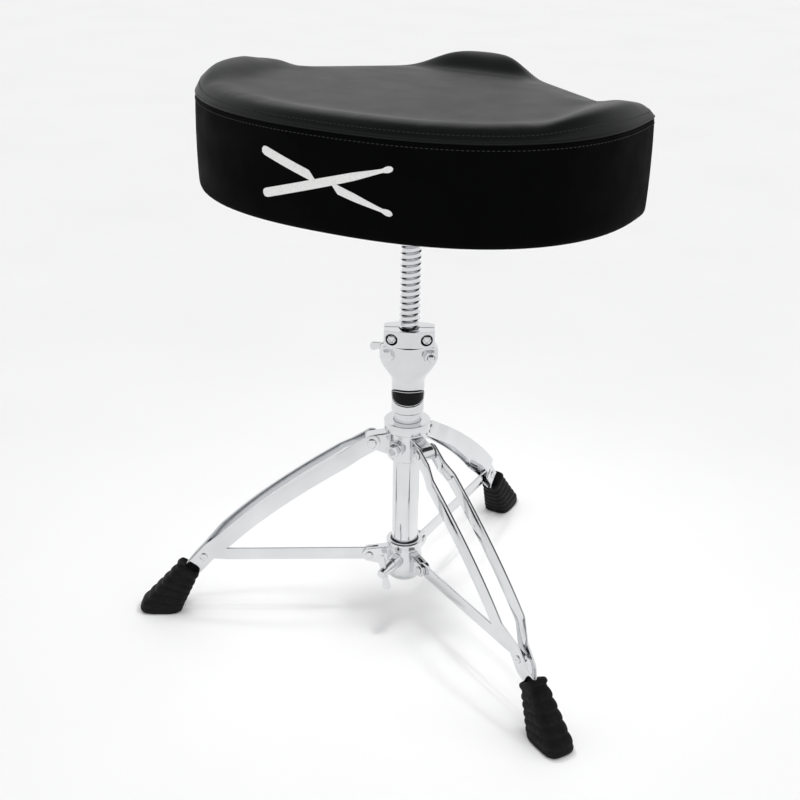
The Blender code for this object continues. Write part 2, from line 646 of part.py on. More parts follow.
def build_clamp(front):
    """Split casting at the column's top, its thread insert, bolts and badge."""
    low, high = CLAMP_Z
    widths = [(NECK_R - 0.001, low), (NECK_R, low + 0.001), (NECK_R, 0.312), (0.0202, 0.3175),
              (0.0245, 0.3250), (0.0300, 0.3325), (0.0328, 0.3385), (CLAMP_EAR, 0.3450),
              (CLAMP_EAR, 0.3515), (0.0325, 0.3560), (0.0305, high)]
    casting = add("height_clamp_casting", lofted([clamp_ring(w, z) for w, z in widths]), "cast_chrome", front)
    (pocket, lip), socket = CLAMP_POCKET, TUBE_R + GAP
    seat, throat = TUBE_Z[1] + GAP, ROD_R + 2 * GAP
    inside = turned([(0, low - CUT_PAST), (socket, low - CUT_PAST), (socket, seat), (pocket, seat),
                     (pocket, lip), (throat, lip), (throat, high + CUT_PAST), (0, high + CUT_PAST)], 32)
    combine(casting, helper("clamp_bore", inside, front), "DIFFERENCE")
    opening = [(-0.05, -SLIT_HALF), (-0.010, -SLIT_HALF), (-0.010, SLIT_HALF), (-0.05, SLIT_HALF)]
    slit = prism(opening, SLIT_BOTTOM, high + CUT_PAST)
    combine(casting, helper("clamp_slit", slit, front), "DIFFERENCE")
    side, height = CLAMP_BOLT
    holes = [cross_hole(CLAMP_HOLE_R, 0.04, (x, height), 12) for x in (-side, side)]
    combine(casting, helper("clamp_bolt_holes", merged(*holes), front), "DIFFERENCE")

    insert = [(ROD_R + GAP, seat + GAP), (pocket - GAP, seat + GAP), (pocket - GAP, lip - GAP),
              (ROD_R + GAP, lip - GAP)]
    add("thread_insert", turned(insert, 24, closed=True), "brass", front)

    face = EAR_DEPTH + GAP
    add("clamp_bolt", bolt(*CLAMP_HEAD, CLAMP_BOLT_R, 2 * face + 0.0110), "chrome", front,
        (-side, -face, height), (90, 0, 0))
    add("hinge_bolt", bolt(*CLAMP_HEAD, CLAMP_BOLT_R, 2 * face + 0.0090), "chrome", front,
        (side, face, height), (-90, 0, 0))
    flat = CLAMP_HEAD[0]
    nut = [(CLAMP_HOLE_R, 0), (flat * 0.96, 0, 6), (flat, 0.0008, 6), (flat, 0.0046, 6),
           (flat * 0.91, 0.0054), (CLAMP_HOLE_R, 0.0054)]
    add("hinge_nut", turned(nut, 24, closed=True), "chrome", front, (side, -face, height), (90, 0, 0))

    guide = empty("clamp_wing_axis", front, (-side, face, height))
    hub = [(CLAMP_HOLE_R, 0), (0.0076, 0), (0.0070, 0.011), (0.0060, 0.0150), (CLAMP_HOLE_R, 0.0150)]
    wing_nut = add("clamp_wing_nut", turned(hub, 16, closed=True), "cast_chrome", guide,
                   (0, 0, 0), (-90, 0, 0))
    blade = rounded([(0.0055, -0.003, 0), (0.0200, -0.0055, 0.004), (0.0200, 0.0055, 0.004),
                     (0.0055, 0.003, 0)], 30)
    wings = [moved(plate(blade, 0.0014), turn, "Y", (0, 0.0131, 0)) for turn in (-8, 172)]
    combine(wing_nut, helper("clamp_wings", merged(*wings), guide), "UNION")
    build_badge(front)


def build_badge(front):
    """A plain curved plate on the front of the casting's neck."""
    inner, outer = NECK_R + GAP, NECK_R + GAP + BADGE_THICK
    (low, high), corner, half_turn, count = BADGE_Z, BADGE_CORNER, BADGE_HALF_TURN, 18
    rings = []
    for step in range(count + 1):
        share = step / count
        edge = min(share, 1 - share) * 2 * math.radians(half_turn) * outer
        trim = corner * (1 - math.sin(math.acos(1 - min(1, edge / corner))))
        angle = math.radians(270 - half_turn + 2 * half_turn * share)
        out = Vector((math.cos(angle), math.sin(angle)))
        rings.append([(*(out * radius), z) for radius, z in (
            (inner, low + trim), (outer, low + trim), (outer, high - trim), (inner, high - trim))])
    add("badge_plate", lofted(rings), "black_badge", front)


def lock_outline(split):
    """Half of the memory lock seen from above: the y < 0 side of the parting line."""
    edge, middle = LOCK_DEPTH
    reach = LOCK_EAR - 0.002
    bulge = (reach ** 2 + (middle - edge) ** 2) / (2 * (middle - edge))
    swing = math.degrees(math.asin(reach / bulge))
    bore = ROD_R + GAP
    start = math.degrees(math.asin(split / bore))
    front = arc(bulge, 270 - swing, 270 + swing, 8, (0, bulge - middle))
    outer = [(-LOCK_EAR, -split), (-LOCK_EAR, -edge + 0.003)] + front
    outer += [(LOCK_EAR, -edge + 0.003), (LOCK_EAR, -split)]
    return outer + arc(bore, 360 - start, 180 + start, 12)


def build_lock(front):
    """Memory lock: two halves clamped round the rod above the casting."""
    low, high = LOCK_Z
    side, height = LOCK_BOLT
    holes = [cross_hole(LOCK_HOLE_R, 0.03, (x, height), 12) for x in (-side, side)]
    cutter = helper("lock_bolt_holes", merged(*holes), front)
    deep = 0.008
    recesses = [moved(cross_hole(LOCK_RECESS_R, deep, (x, height), 16), 0, "Z", (0, -LOCK_SEAT - deep, 0))
                for x in (-side, side)]
    recess = helper("lock_bolt_recesses", merged(*recesses), front)
    for label, turn in (("front", 0), ("rear", 180)):
        half = moved(prism(lock_outline(LOCK_SPLIT), low, high), turn)
        piece = add(f"memory_lock_{label}", half, "cast_chrome", front)
        combine(piece, cutter, "DIFFERENCE")
        if label == "front":
            combine(piece, recess, "DIFFERENCE")
    for x, label in ((-side, "left"), (side, "right")):
        add(f"memory_lock_bolt_{label}", bolt(0.0050, 0.0050, LOCK_BOLT_R, 0.0210, 0.0028), "chrome",
            front, (x, -LOCK_SEAT - GAP, height), (90, 0, 0))


# ---------------------------------------------------------------- rod

def thread_mesh(count=12):
    """The rod: a right-hand thread of rounded crests, a plain spigot above and a stub below.

    Crest and root points climb one pitch in each turn, so column 0 meets the last column
    two rows higher up.
    """
    bm = bmesh.new()
    low, high = THREAD_Z
    rows = 2 * int((high - low) / THREAD_PITCH) - 1
    columns = []
    for j in range(count):
        angle = math.tau * j / count
        column = []
        for i in range(rows):
            radius = ROD_R if i % 2 else ROD_ROOT_R
            z = low + THREAD_PITCH * (i / 2 + j / count)
            column.append(bm.verts.new((radius * math.cos(angle), radius * math.sin(angle), z)))
        columns.append(column)
    for j in range(count - 1):
        for i in range(rows - 1):
            bm.faces.new((columns[j][i], columns[j + 1][i], columns[j + 1][i + 1], columns[j][i + 1]))
    last, first = columns[-1], columns[0]
    for i in range(rows - 3):
        bm.faces.new((last[i], first[i + 2], first[i + 3], last[i + 1]))
    bottom = end_rings(bm, count, [(ROD_ROOT_R, STUB_TOP), (STUB_R, STUB_TOP), (STUB_R, ROD_BOTTOM + 0.001),
                                   (STUB_R - 0.001, ROD_BOTTOM)])
    top = end_rings(bm, count, [(ROD_ROOT_R, high - 0.001), (SPIGOT_R, high), (SPIGOT_R, ROD_TOP - 0.001),
                                (SPIGOT_R - 0.001, ROD_TOP)])
    for j in range(count - 1):
        bm.faces.new((bottom[j + 1], bottom[j], columns[j][0], columns[j + 1][0]))
        bm.faces.new((top[j], top[j + 1], columns[j + 1][-1], columns[j][-1]))
    bm.faces.new((bottom[0], bottom[-1], last[0], first[2]))
    bm.faces.new((bottom[0], first[2], first[1], first[0]))
    bm.faces.new((top[-1], top[0], first[-1], last[-3]))
    bm.faces.new((top[-1], last[-3], last[-2], last[-1]))
    return bm


def end_rings(bm, count, profile):
    """A turned, capped end of the rod; the first ring is left open and given back."""
    rings = [ring_of(bm, entry, count) for entry in profile]
    for near, far in zip(rings, rings[1:]):
        for i in range(count):
            j = (i + 1) % count
            bm.faces.new((near[i], near[j], far[j], far[i]))
    bm.faces.new(rings[-1])
    return rings[0]


def build_rod(axis):
    add("height_rod", thread_mesh(), "chrome", axis)
    low, high = ROD_BOTTOM + 0.001, STUB_TOP - GAP
    inner, outer = STUB_R + GAP, TUBE_BORE - GAP
    bush = [(inner, low), (outer, low), (outer, high), (inner, high)]
    add("rod_guide_bush", turned(bush, 24, closed=True), "nylon", axis)


# ---------------------------------------------------------------- seat

def seat_outline():
    """The saddle seen from above: the right half from rear to nose, then mirrored."""
    half_wide, depth = SEAT_HALF
    right = []
    for i in range(13):
        share = math.sin(math.pi / 2 * i / 13)
        drop = (1 - share ** REAR_POWER) ** (1 / REAR_POWER)
        right.append((half_wide * share, SEAT_WIDEST - depth * drop))
    front = rounded([(0, SEAT_WIDEST, 0), (half_wide, SEAT_WIDEST, 0), (*HIP_CORNER, 0.020),
                     (*THIGH_CORNER, 0.050), (NOSE_HALF, NOSE_TIP, 0.068), (0, NOSE_TIP, 0)], 24)
    right += front[1:]
    left = [(-x, y) for x, y in reversed(right[1:-1])]
    return [Vector(point) for point in right + left]


def inward(outline, distance):
    """The outline moved in, square to itself."""
    moved_in = []
    for index, point in enumerate(outline):
        before, after = outline[index - 1], outline[(index + 1) % len(outline)]
        ahead, behind = (after - point).normalized(), (point - before).normalized()
        along = (ahead + behind).normalized()
        square = Vector((-along.y, along.x))
        moved_in.append(point + square * (distance / max(0.5, along.dot(ahead))))
    return moved_in


def hump(offset, spread, power):
    """A flat-topped bell; the power sets how steep its sides are."""
    return math.exp(-abs(offset / spread) ** power)


def seat_rise(x, y, depth):
    """Height of the cover above the seam at a distance in from the seat's edge."""
    roll = smoothstep(depth / 0.016)
    rim = hump(depth - 0.020, 0.018, 2) * (0.0072 if y < SEAT_WIDEST else 0.001)
    hips = HIP_RISE * hump(abs(x) - 0.215, 0.026, 4) * hump(y + 0.040, 0.118, 4)
    nose = NOSE_RISE * hump(x, 0.074, 4) * hump(y - 0.177, 0.021 if y > 0.177 else 0.032, 3)
    return roll * (0.0052 + rim + hips + nose)


def cover_rings(outline, lift):
    """Rings of points on the cover from the edge inwards, lifted by a distance."""
    rings = [[(p, step) for p in inward(outline, step)] for step in COVER_STEPS]
    inmost = COVER_STEPS[-1]
    last = inward(outline, inmost)
    for share in (0.92, 0.84, 0.74, 0.60, 0.36):
        rings.append([(p * share, inmost + (1 - share) * p.length) for p in last])
    return [[(p.x, p.y, SEAM_Z + seat_rise(p.x, p.y, depth) + lift) for p, depth in ring]
            for ring in rings]


def close_fan(bm, loop, point):
    tip = bm.verts.new(point)
    for i, vert in enumerate(loop):
        bm.faces.new((vert, loop[(i + 1) % len(loop)], tip))


def skin(bm, rings):
    """Triangles between rings of points, split alike on every layer; gives back the loops."""
    loops = [[bm.verts.new(point) for point in ring] for ring in rings]
    for near, far in zip(loops, loops[1:]):
        join_loops(bm, near, far)
    return loops


def join_loops(bm, near, far):
    for i in range(len(near)):
        j = (i + 1) % len(near)
        bm.faces.new((near[i], near[j], far[j]))
        bm.faces.new((near[i], far[j], far[i]))


def build_seat(axis):
    outline = seat_outline()
    middle = SEAM_Z + seat_rise(0, 0, SEAT_HALF[1])
    cover = bmesh.new()
    edges = []
    for lift in (-COVER, 0):
        loops = skin(cover, cover_rings(outline, lift))
        close_fan(cover, loops[-1], (0, 0, middle + lift))
        edges.append(loops[0])
    join_loops(cover, *edges)
    add("seat_top_cover", cover, "black_vinyl", axis)

    # The foam's rim lies just inside the band, on the line between two cover rings.
    lining = cover_rings(outline, -COVER - GAP)
    share = (BAND + 2 * GAP) / COVER_STEPS[1]
    rim = [Vector(edge).lerp(Vector(inner), share) for edge, inner in zip(lining[0], lining[1])]
    rim = [(point.x, point.y, point.z - 2 * GAP) for point in rim]
    foot = [(x, y, BOARD_Z[1] + GAP) for x, y, _ in rim]
    foam = bmesh.new()
    loops = skin(foam, [foot, rim] + lining[1:])
    foam.faces.new(loops[0])
    close_fan(foam, loops[-1], (0, 0, middle - COVER - GAP))
    add("seat_foam", foam, "foam", axis)

    build_base(axis, outline)


def build_base(axis, outline):
    """The side band, and the board and the dust cloth inside it."""
    inset = inward(outline, BAND)
    low, high = SEAT_BOTTOM + 0.0005, SEAM_Z - COVER - GAP
    band = bmesh.new()
    loops = skin(band, [[(p.x, p.y, z) for p in loop] for loop, z in (
        (inset, low), (outline, low), (outline, high), (inset, high))])
    join_loops(band, loops[-1], loops[0])
    add("seat_side_band", band, "black_band", axis)

    inner = inward(outline, BAND + GAP)
    board = add("seat_board", prism([tuple(p) for p in inner], *BOARD_Z), "plywood", axis)
    cloth = add("seat_bottom_cover", prism([tuple(p) for p in inner], SEAT_BOTTOM, BOARD_Z[0] - GAP),
                "dust_cloth", axis)
    spots = [(x, y) for x in (-SCREW_AT, SCREW_AT) for y in (-SCREW_AT, SCREW_AT)]
    holes = [moved(cylinder(SCREW_R + GAP, 0.520, SCREW_TOP + 0.0005, 12), 0, "Z", (x, y, 0))
             for x, y in spots]
    cutter = helper("seat_screw_holes", merged(*holes), axis)
    for piece in (board, cloth):
        combine(piece, cutter, "DIFFERENCE")
    build_socket(axis, spots, cutter)


def build_socket(axis, spots, cutter):
    """Steel plate under the board with the socket that sits on the rod, and its bolts."""
    low, high = PLATE_Z
    corners = [(x * PLATE_HALF, y * PLATE_HALF, PLATE_CORNER)
               for x, y in ((1, 1), (-1, 1), (-1, -1), (1, -1))]
    base = add("seat_mount_plate", prism(rounded(corners, 22.5), low, high), "zinc", axis)
    sleeve = turned([(0, SOCKET_BOTTOM), (SOCKET_R - 0.001, SOCKET_BOTTOM), (SOCKET_R, SOCKET_BOTTOM + 0.001),
                     (SOCKET_R, low - 0.004), (SOCKET_R + 0.004, low + 0.001), (0, low + 0.001)], 24)
    combine(base, helper("seat_sleeve", sleeve, axis), "UNION")
    bore = cylinder(SPIGOT_R + GAP, SOCKET_BOTTOM - CUT_PAST, ROD_TOP + GAP, 24)
    combine(base, helper("seat_socket_bore", bore, axis), "DIFFERENCE")
    height = (SOCKET_BOTTOM + low) / 2 - 0.001
    hole = side_hole(SIDE_HOLE_R, SPIGOT_R + 0.003, SOCKET_R + 0.0045, height)
    bolt_hole = helper("seat_lock_hole", hole, axis)
    combine(base, bolt_hole, "DIFFERENCE")
    combine(base, cutter, "DIFFERENCE")

    reach = SOCKET_R + GAP
    shank = reach - SPIGOT_R - GAP
    lock = [(0, -shank), (0.0030, -shank), (SIDE_BOLT_R, -shank + 0.001), (SIDE_BOLT_R, 0), (0.0062, 0),
            (0.0062, 0.0030), (0.0029, 0.0036, 4), (0.0029, 0.0092, 4), (0.0026, 0.0100, 4), (0, 0.0100)]
    add("seat_lock_bolt", turned(lock, 16), "chrome", axis, (0, -reach, height), (90, 0, 0))
    screw = [(0, low - 0.0034), (SCREW_R, low - 0.0032), (SCREW_HEAD_R, low - 0.0018),
             (SCREW_HEAD_R, low - GAP), (SCREW_R, low - GAP), (SCREW_R, SCREW_TOP - 0.0005), (0, SCREW_TOP)]
    for number, (x, y) in enumerate(spots, 1):
        add(f"seat_mount_screw_{number}", turned(screw, 12), "zinc", axis, (x, y, 0))


def build():
    clear_scene()
    axis = empty("throne_axis", None, (0, COLUMN_Y, 0))
    front = empty("clamp_front", axis, turn=CLAMP_TURN)
    build_column(axis)
    build_hub(axis)
    build_legs(axis)
    build_bracket(axis)
    build_struts(axis)
    build_clamp(front)
    build_lock(front)
    build_rod(axis)
    build_seat(axis)


build()
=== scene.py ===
"""Drum throne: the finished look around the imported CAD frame, in metres, +Z up."""

from math import asin, atan2, ceil, copysign, cos, degrees, exp, hypot, pi, radians, sin, sqrt, tan, tau

import bmesh
import bpy
import numpy as np
from mathutils import Matrix, Vector
from mathutils.bvhtree import BVHTree


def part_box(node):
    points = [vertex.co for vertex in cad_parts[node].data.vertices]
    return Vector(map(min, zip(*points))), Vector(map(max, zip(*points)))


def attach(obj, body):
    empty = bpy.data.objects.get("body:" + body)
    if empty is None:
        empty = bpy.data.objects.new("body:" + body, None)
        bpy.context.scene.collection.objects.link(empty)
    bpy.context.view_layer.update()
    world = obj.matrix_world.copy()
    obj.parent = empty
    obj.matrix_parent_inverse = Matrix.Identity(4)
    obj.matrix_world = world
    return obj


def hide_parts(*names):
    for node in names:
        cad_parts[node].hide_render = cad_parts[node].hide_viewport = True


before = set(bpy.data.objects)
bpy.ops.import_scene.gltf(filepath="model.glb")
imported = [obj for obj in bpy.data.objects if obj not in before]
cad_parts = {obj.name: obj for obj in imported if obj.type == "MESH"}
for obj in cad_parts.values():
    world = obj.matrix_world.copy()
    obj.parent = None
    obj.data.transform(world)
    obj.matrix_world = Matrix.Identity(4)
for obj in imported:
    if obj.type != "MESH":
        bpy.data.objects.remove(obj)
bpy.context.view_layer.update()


def middle(node):
    low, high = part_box(node)
    return (low + high) / 2


COLUMN_Y = middle("centre_tube").y
SEAM_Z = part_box("seat_top_cover")[0].z + 0.0012
LEG_TURNS = (210.0, 330.0, 90.0)
CLAMP_TURN = 27.5


# ---------------------------------------------------------------- node materials

class Shader:
    """A Principled material whose nodes are added in plain words."""

    def __init__(self, name, colour, roughness, metallic=0.0):
        self.material = bpy.data.materials.new(name)
        self.material.use_nodes = True
        self.tree = self.material.node_tree
        self.surface = self.tree.nodes["Principled BSDF"]
        self.surface.inputs["Base Color"].default_value = (*colour, 1)
        self.surface.inputs["Roughness"].default_value = roughness
        self.surface.inputs["Metallic"].default_value = metallic
        self.place = self.node("ShaderNodeTexCoord").outputs["Object"]
        self.height = None

    def node(self, kind, **settings):
        made = self.tree.nodes.new(kind)
        for key, value in settings.items():
            setattr(made, key, value)
        return made

    def link(self, out, into):
        self.tree.links.new(out, into)
        return out

    def stretched(self, scale):
        """The object's coordinates, scaled by three numbers."""
        mapping = self.node("ShaderNodeMapping")
        mapping.inputs["Scale"].default_value = scale
        self.link(self.place, mapping.inputs["Vector"])
        return mapping.outputs["Vector"]

    def noise(self, scale, detail=2.0, place=None, roughness=0.5):
        made = self.node("ShaderNodeTexNoise")
        made.inputs["Scale"].default_value = scale
        made.inputs["Detail"].default_value = detail
        made.inputs["Roughness"].default_value = roughness
        self.link(place or self.place, made.inputs["Vector"])
        return made.outputs["Fac"]

    def cells(self, scale, feature="F1", place=None):
        made = self.node("ShaderNodeTexVoronoi", feature=feature)
        made.inputs["Scale"].default_value = scale
        self.link(place or self.place, made.inputs["Vector"])
        return made.outputs["Distance"]

    def waves(self, scale, axis, distortion=0.0):
        made = self.node("ShaderNodeTexWave", bands_direction=axis)
        made.inputs["Scale"].default_value = scale
        made.inputs["Distortion"].default_value = distortion
        self.link(self.place, made.inputs["Vector"])
        return made.outputs["Fac"]

    def ranged(self, value, low, high, start=0.0, end=1.0):
        made = self.node("ShaderNodeMapRange")
        for key, number in (("From Min", start), ("From Max", end), ("To Min", low), ("To Max", high)):
            made.inputs[key].default_value = number
        self.link(value, made.inputs["Value"])
        return made.outputs["Result"]

    def maths(self, operation, first, second):
        made = self.node("ShaderNodeMath", operation=operation)
        for socket, value in zip(made.inputs, (first, second)):
            if isinstance(value, (int, float)):
                socket.default_value = value
            else:
                self.link(value, socket)
        return made.outputs["Value"]

    def roughened(self, value, low, high, start=0.3, end=0.7):
        self.link(self.ranged(value, low, high, start, end), self.surface.inputs["Roughness"])

    def tinted(self, value, first, second, start=0.3, end=0.7):
        mix = self.node("ShaderNodeMix", data_type="RGBA")
        self.link(self.ranged(value, 0, 1, start, end), mix.inputs["Factor"])
        mix.inputs["A"].default_value = (*first, 1)
        mix.inputs["B"].default_value = (*second, 1)
        self.link(mix.outputs["Result"], self.surface.inputs["Base Color"])

    def bumped(self, value, strength, distance):
        bump = self.node("ShaderNodeBump")
        bump.inputs["Strength"].default_value = strength
        bump.inputs["Distance"].default_value = distance
        self.link(value, bump.inputs["Height"])
        if self.height is not None:
            self.link(self.height, bump.inputs["Normal"])
        self.height = bump.outputs["Normal"]
        self.link(self.height, self.surface.inputs["Normal"])

    def set(self, **values):
        for key, value in values.items():
            self.surface.inputs[key.replace("_", " ")].default_value = value
        return self


def plated(name, colour, roughness, ripple):
    """Chrome plate: faint polishing haze, a few hairlines, and the casting's slight waviness."""
    made = Shader(name, colour, roughness, 1.0)
    haze = made.noise(55, 4)
    hairs = made.noise(900, 2, made.stretched((1, 1, 0.06)))
    made.roughened(made.maths("ADD", haze, made.maths("MULTIPLY", hairs, 0.25)), roughness * 0.7,
                   roughness * 1.7, 0.35, 0.85)
    made.tinted(made.noise(24, 3), colour, [c * 0.93 for c in colour])
    made.bumped(made.noise(ripple, 2), 0.1, 0.0004)
    return made.material


def vinyl(name, colour, low, high, cell, sheen):
    """Upholstery vinyl with a fine pebble grain."""
    made = Shader(name, colour, low)
    made.set(Specular_IOR_Level=sheen)
    made.roughened(made.noise(30, 3), low, high)
    made.tinted(made.noise(22, 3), colour, [c * 1.1 for c in colour])
    made.bumped(made.noise(cell * 1.9, 3), 0.22, 0.00025)
    made.bumped(made.cells(cell, "SMOOTH_F1"), 0.34, 0.0003)
    return made.material


def make_materials():
    made = {}
    made["chrome"] = plated("chrome_plate", (0.74, 0.75, 0.76), 0.055, 45)
    made["cast_chrome"] = plated("chromed_casting", (0.74, 0.75, 0.76), 0.085, 120)
    made["black_vinyl"] = vinyl("satin_black_vinyl", (0.0046, 0.0052, 0.0052), 0.37, 0.41, 900, 0.15)
    made["black_band"] = vinyl("matte_black_band", (0.0008, 0.0009, 0.0009), 0.6, 0.76, 1300, 0.03)

    rubber = Shader("moulded_rubber", (0.0035, 0.0035, 0.0037), 0.6).set(Specular_IOR_Level=0.16)
    rubber.roughened(rubber.noise(220, 4), 0.52, 0.78)
    rubber.tinted(rubber.noise(60, 5), (0.0028, 0.0028, 0.003), (0.005, 0.005, 0.0052))
    rubber.bumped(rubber.noise(1500, 3), 0.35, 0.0003)
    made["black_rubber"] = rubber.material

    zinc = Shader("zinc_plate", (0.52, 0.53, 0.55), 0.3, 1.0)
    zinc.roughened(zinc.noise(160, 5), 0.24, 0.44)
    zinc.tinted(zinc.cells(240), (0.46, 0.47, 0.49), (0.62, 0.63, 0.64), 0.1, 0.9)
    zinc.bumped(zinc.noise(900, 3), 0.2, 0.0002)
    made["zinc"] = zinc.material

    brass = Shader("turned_brass", (0.72, 0.53, 0.26), 0.28, 1.0)
    brass.roughened(brass.noise(1200, 2, brass.stretched((0.1, 0.1, 1))), 0.2, 0.38)
    brass.tinted(brass.noise(90, 3), (0.7, 0.51, 0.25), (0.6, 0.42, 0.2))
    made["brass"] = brass.material

    nylon = Shader("black_nylon", (0.018, 0.018, 0.019), 0.4)
    nylon.roughened(nylon.noise(300, 3), 0.34, 0.5)
    nylon.tinted(nylon.noise(80, 3), (0.015, 0.015, 0.016), (0.026, 0.026, 0.027))
    nylon.bumped(nylon.noise(1100, 2), 0.15, 0.0002)
    made["nylon"] = nylon.material

    enamel = Shader("black_enamel", (0.003, 0.003, 0.003), 0.24).set(Specular_IOR_Level=0.12)
    enamel.roughened(enamel.noise(200, 3), 0.2, 0.32)
    enamel.tinted(enamel.noise(70, 2), (0.002, 0.002, 0.002), (0.004, 0.004, 0.0045))
    made["black_badge"] = enamel.material

    cloth = Shader("dust_cloth", (0.02, 0.02, 0.021), 0.9).set(Specular_IOR_Level=0.15)
    across, along = cloth.waves(260, "X", 2.0), cloth.waves(260, "Y", 2.0)
    cloth.bumped(cloth.maths("ADD", across, along), 0.4, 0.0003)
    cloth.tinted(cloth.noise(420, 4), (0.012, 0.012, 0.013), (0.034, 0.034, 0.035))
    made["dust_cloth"] = cloth.material

    ply = Shader("plywood", (0.5, 0.34, 0.2), 0.65)
    grain = ply.noise(60, 5, ply.stretched((1, 8, 14)))
    ply.tinted(grain, (0.56, 0.4, 0.25), (0.36, 0.23, 0.12))
    ply.roughened(grain, 0.55, 0.8)
    ply.bumped(grain, 0.3, 0.0004)
    made["plywood"] = ply.material

    thread = Shader("sewing_thread", (0.028, 0.029, 0.03), 0.55).set(Specular_IOR_Level=0.25)
    thread.tinted(thread.noise(900, 2), (0.014, 0.015, 0.016), (0.028, 0.029, 0.03))
    thread.bumped(thread.waves(1500, "DIAGONAL"), 0.5, 0.0002)
    made["thread"] = thread.material

    ink = Shader("white_print", (0.78, 0.78, 0.77), 0.5)
    ink.tinted(ink.noise(700, 4), (0.82, 0.82, 0.81), (0.62, 0.62, 0.61), 0.45, 0.8)
    ink.bumped(ink.cells(1300), 0.2, 0.0002)
    made["white_print"] = ink.material
    return made


LOOK = make_materials()


# ---------------------------------------------------------------- mesh helpers

def turned(profile, count=64, closed=False):
    """Turn (radius, height[, sides]) about Z.  Sides gives a hexagon or square ring."""
    bm = bmesh.new()
    rings = [ring_of(bm, entry, count) for entry in profile]
    pairs = list(zip(rings, rings[1:]))
    if closed:
        pairs.append((rings[-1], rings[0]))
    for lower, upper in pairs:
        for i in range(count):
            j = (i + 1) % count
            unique = list(dict.fromkeys([lower[i % len(lower)], lower[j % len(lower)],
                                         upper[j % len(upper)], upper[i % len(upper)]]))
            if len(unique) > 2:
                bm.faces.new(unique)
    return bm


def ring_of(bm, entry, count):
    radius, height = entry[:2]
    sides = entry[2] if len(entry) > 2 else 0
    if radius == 0:
        return [bm.verts.new((0, 0, height))]
    ring = []
    for i in range(count):
        angle = tau * i / count
        reach = radius
        if sides:
            sector = tau / sides
            reach = min(radius / cos(angle % sector - sector / 2), radius * (1.13 if sides == 6 else 1.36))
        ring.append(bm.verts.new((reach * cos(angle), reach * sin(angle), height)))
    return ring


def eased(profile, radius, steps=3, closed=False):
    """A profile of (r, z) with its corners rounded by short arcs."""
    points = [Vector(p[:2]) for p in profile]
    made = []
    for i, corner in enumerate(points):
        ends = not closed and i in (0, len(points) - 1)
        before, after = points[i - 1] - corner, points[(i + 1) % len(points)] - corner
        if ends or corner.x == 0 or before.length < 1e-9 or after.length < 1e-9:
            made.append(tuple(corner))
            continue
        reach = min(radius, before.length * 0.45, after.length * 0.45)
        start, end = corner + before.normalized() * reach, corner + after.normalized() * reach
        for k in range(steps + 1):
            t = k / steps
            made.append(tuple((1 - t) ** 2 * start + 2 * t * (1 - t) * corner + t * t * end))
    return made


def skin(bm, loops, wrap=False):
    """Quads between neighbouring rings, and from the last ring to the first if wrapped."""
    pairs = list(zip(loops, loops[1:]))
    if wrap:
        pairs.append((loops[-1], loops[0]))
    for near, far in pairs:
        for i in range(len(near)):
            j = (i + 1) % len(near)
            bm.faces.new((near[i], near[j], far[j], far[i]))


def capped(bm, loops):
    skin(bm, loops)
    bm.faces.new(loops[0][::-1])
    bm.faces.new(loops[-1])


def lofted(rings):
    bm = bmesh.new()
    capped(bm, [[bm.verts.new(point) for point in ring] for ring in rings])
    return bm


def wrapped(rings):
    bm = bmesh.new()
    skin(bm, [[bm.verts.new(tuple(point)) for point in ring] for ring in rings], wrap=True)
    return bm


def fan_closed(rings):
    """Skin over rings with a fan in the first and the last of them."""
    bm = bmesh.new()
    loops = [[bm.verts.new(tuple(point)) for point in ring] for ring in rings]
    skin(bm, loops)
    for loop in (loops[0], loops[-1]):
        tip = bm.verts.new(sum((v.co for v in loop), Vector()) / len(loop))
        for i, vert in enumerate(loop):
            bm.faces.new((vert, loop[(i + 1) % len(loop)], tip))
    return bm


def cylinder(radius, low, high, count=32):
    return turned([(0, low), (radius, low), (radius, high), (0, high)], count)


def prism(outline, low, high):
    return lofted([[(x, y, z) for x, y in outline] for z in (low, high)])


def plate(outline, half):
    return lofted([[(x, y, z) for x, z in outline] for y in (-half, half)])


def merged(*shapes):
    whole = bmesh.new()
    for shape in shapes:
        scratch = bpy.data.meshes.new("scratch")
        shape.to_mesh(scratch)
        shape.free()
        whole.from_mesh(scratch)
        bpy.data.meshes.remove(scratch)
    return whole


def moved(bm, turn=0.0, about="Z", offset=(0, 0, 0)):
    matrix = Matrix.Translation(offset) @ Matrix.Rotation(radians(turn), 4, about)
    bmesh.ops.transform(bm, matrix=matrix, verts=bm.verts)
    return bm


def softened(bm, width, segments=2, angle=38):
    """Every edge sharper than the angle gets a small round."""
    bmesh.ops.recalc_face_normals(bm, faces=bm.faces)
    sharp = [e for e in bm.edges if e.is_manifold and e.calc_face_angle(0) > radians(angle)]
    bmesh.ops.bevel(bm, geom=sharp, offset=width, segments=segments, profile=0.5, affect="EDGES",
                    clamp_overlap=True)
    return bm


def rounded(corners, step=6.0):
    """A closed outline with its corners (x, y, radius) rounded by arcs."""
    points = []
    for i, (x, y, radius) in enumerate(corners):
        corner = Vector((x, y))
        if radius == 0:
            points.append((x, y))
            continue
        before = (Vector(corners[i - 1][:2]) - corner).normalized()
        after = (Vector(corners[(i + 1) % len(corners)][:2]) - corner).normalized()
        half = before.angle(after) / 2
        centre = corner + (before + after).normalized() * (radius / sin(half))
        start = corner + before * (radius / tan(half)) - centre
        end = corner + after * (radius / tan(half)) - centre
        first = atan2(start.y, start.x)
        sweep = (atan2(end.y, end.x) - first + pi) % tau - pi
        count = max(1, ceil(abs(degrees(sweep)) / step))
        for k in range(count + 1):
            angle = first + sweep * k / count
            points.append((centre.x + radius * cos(angle), centre.y + radius * sin(angle)))
    return points


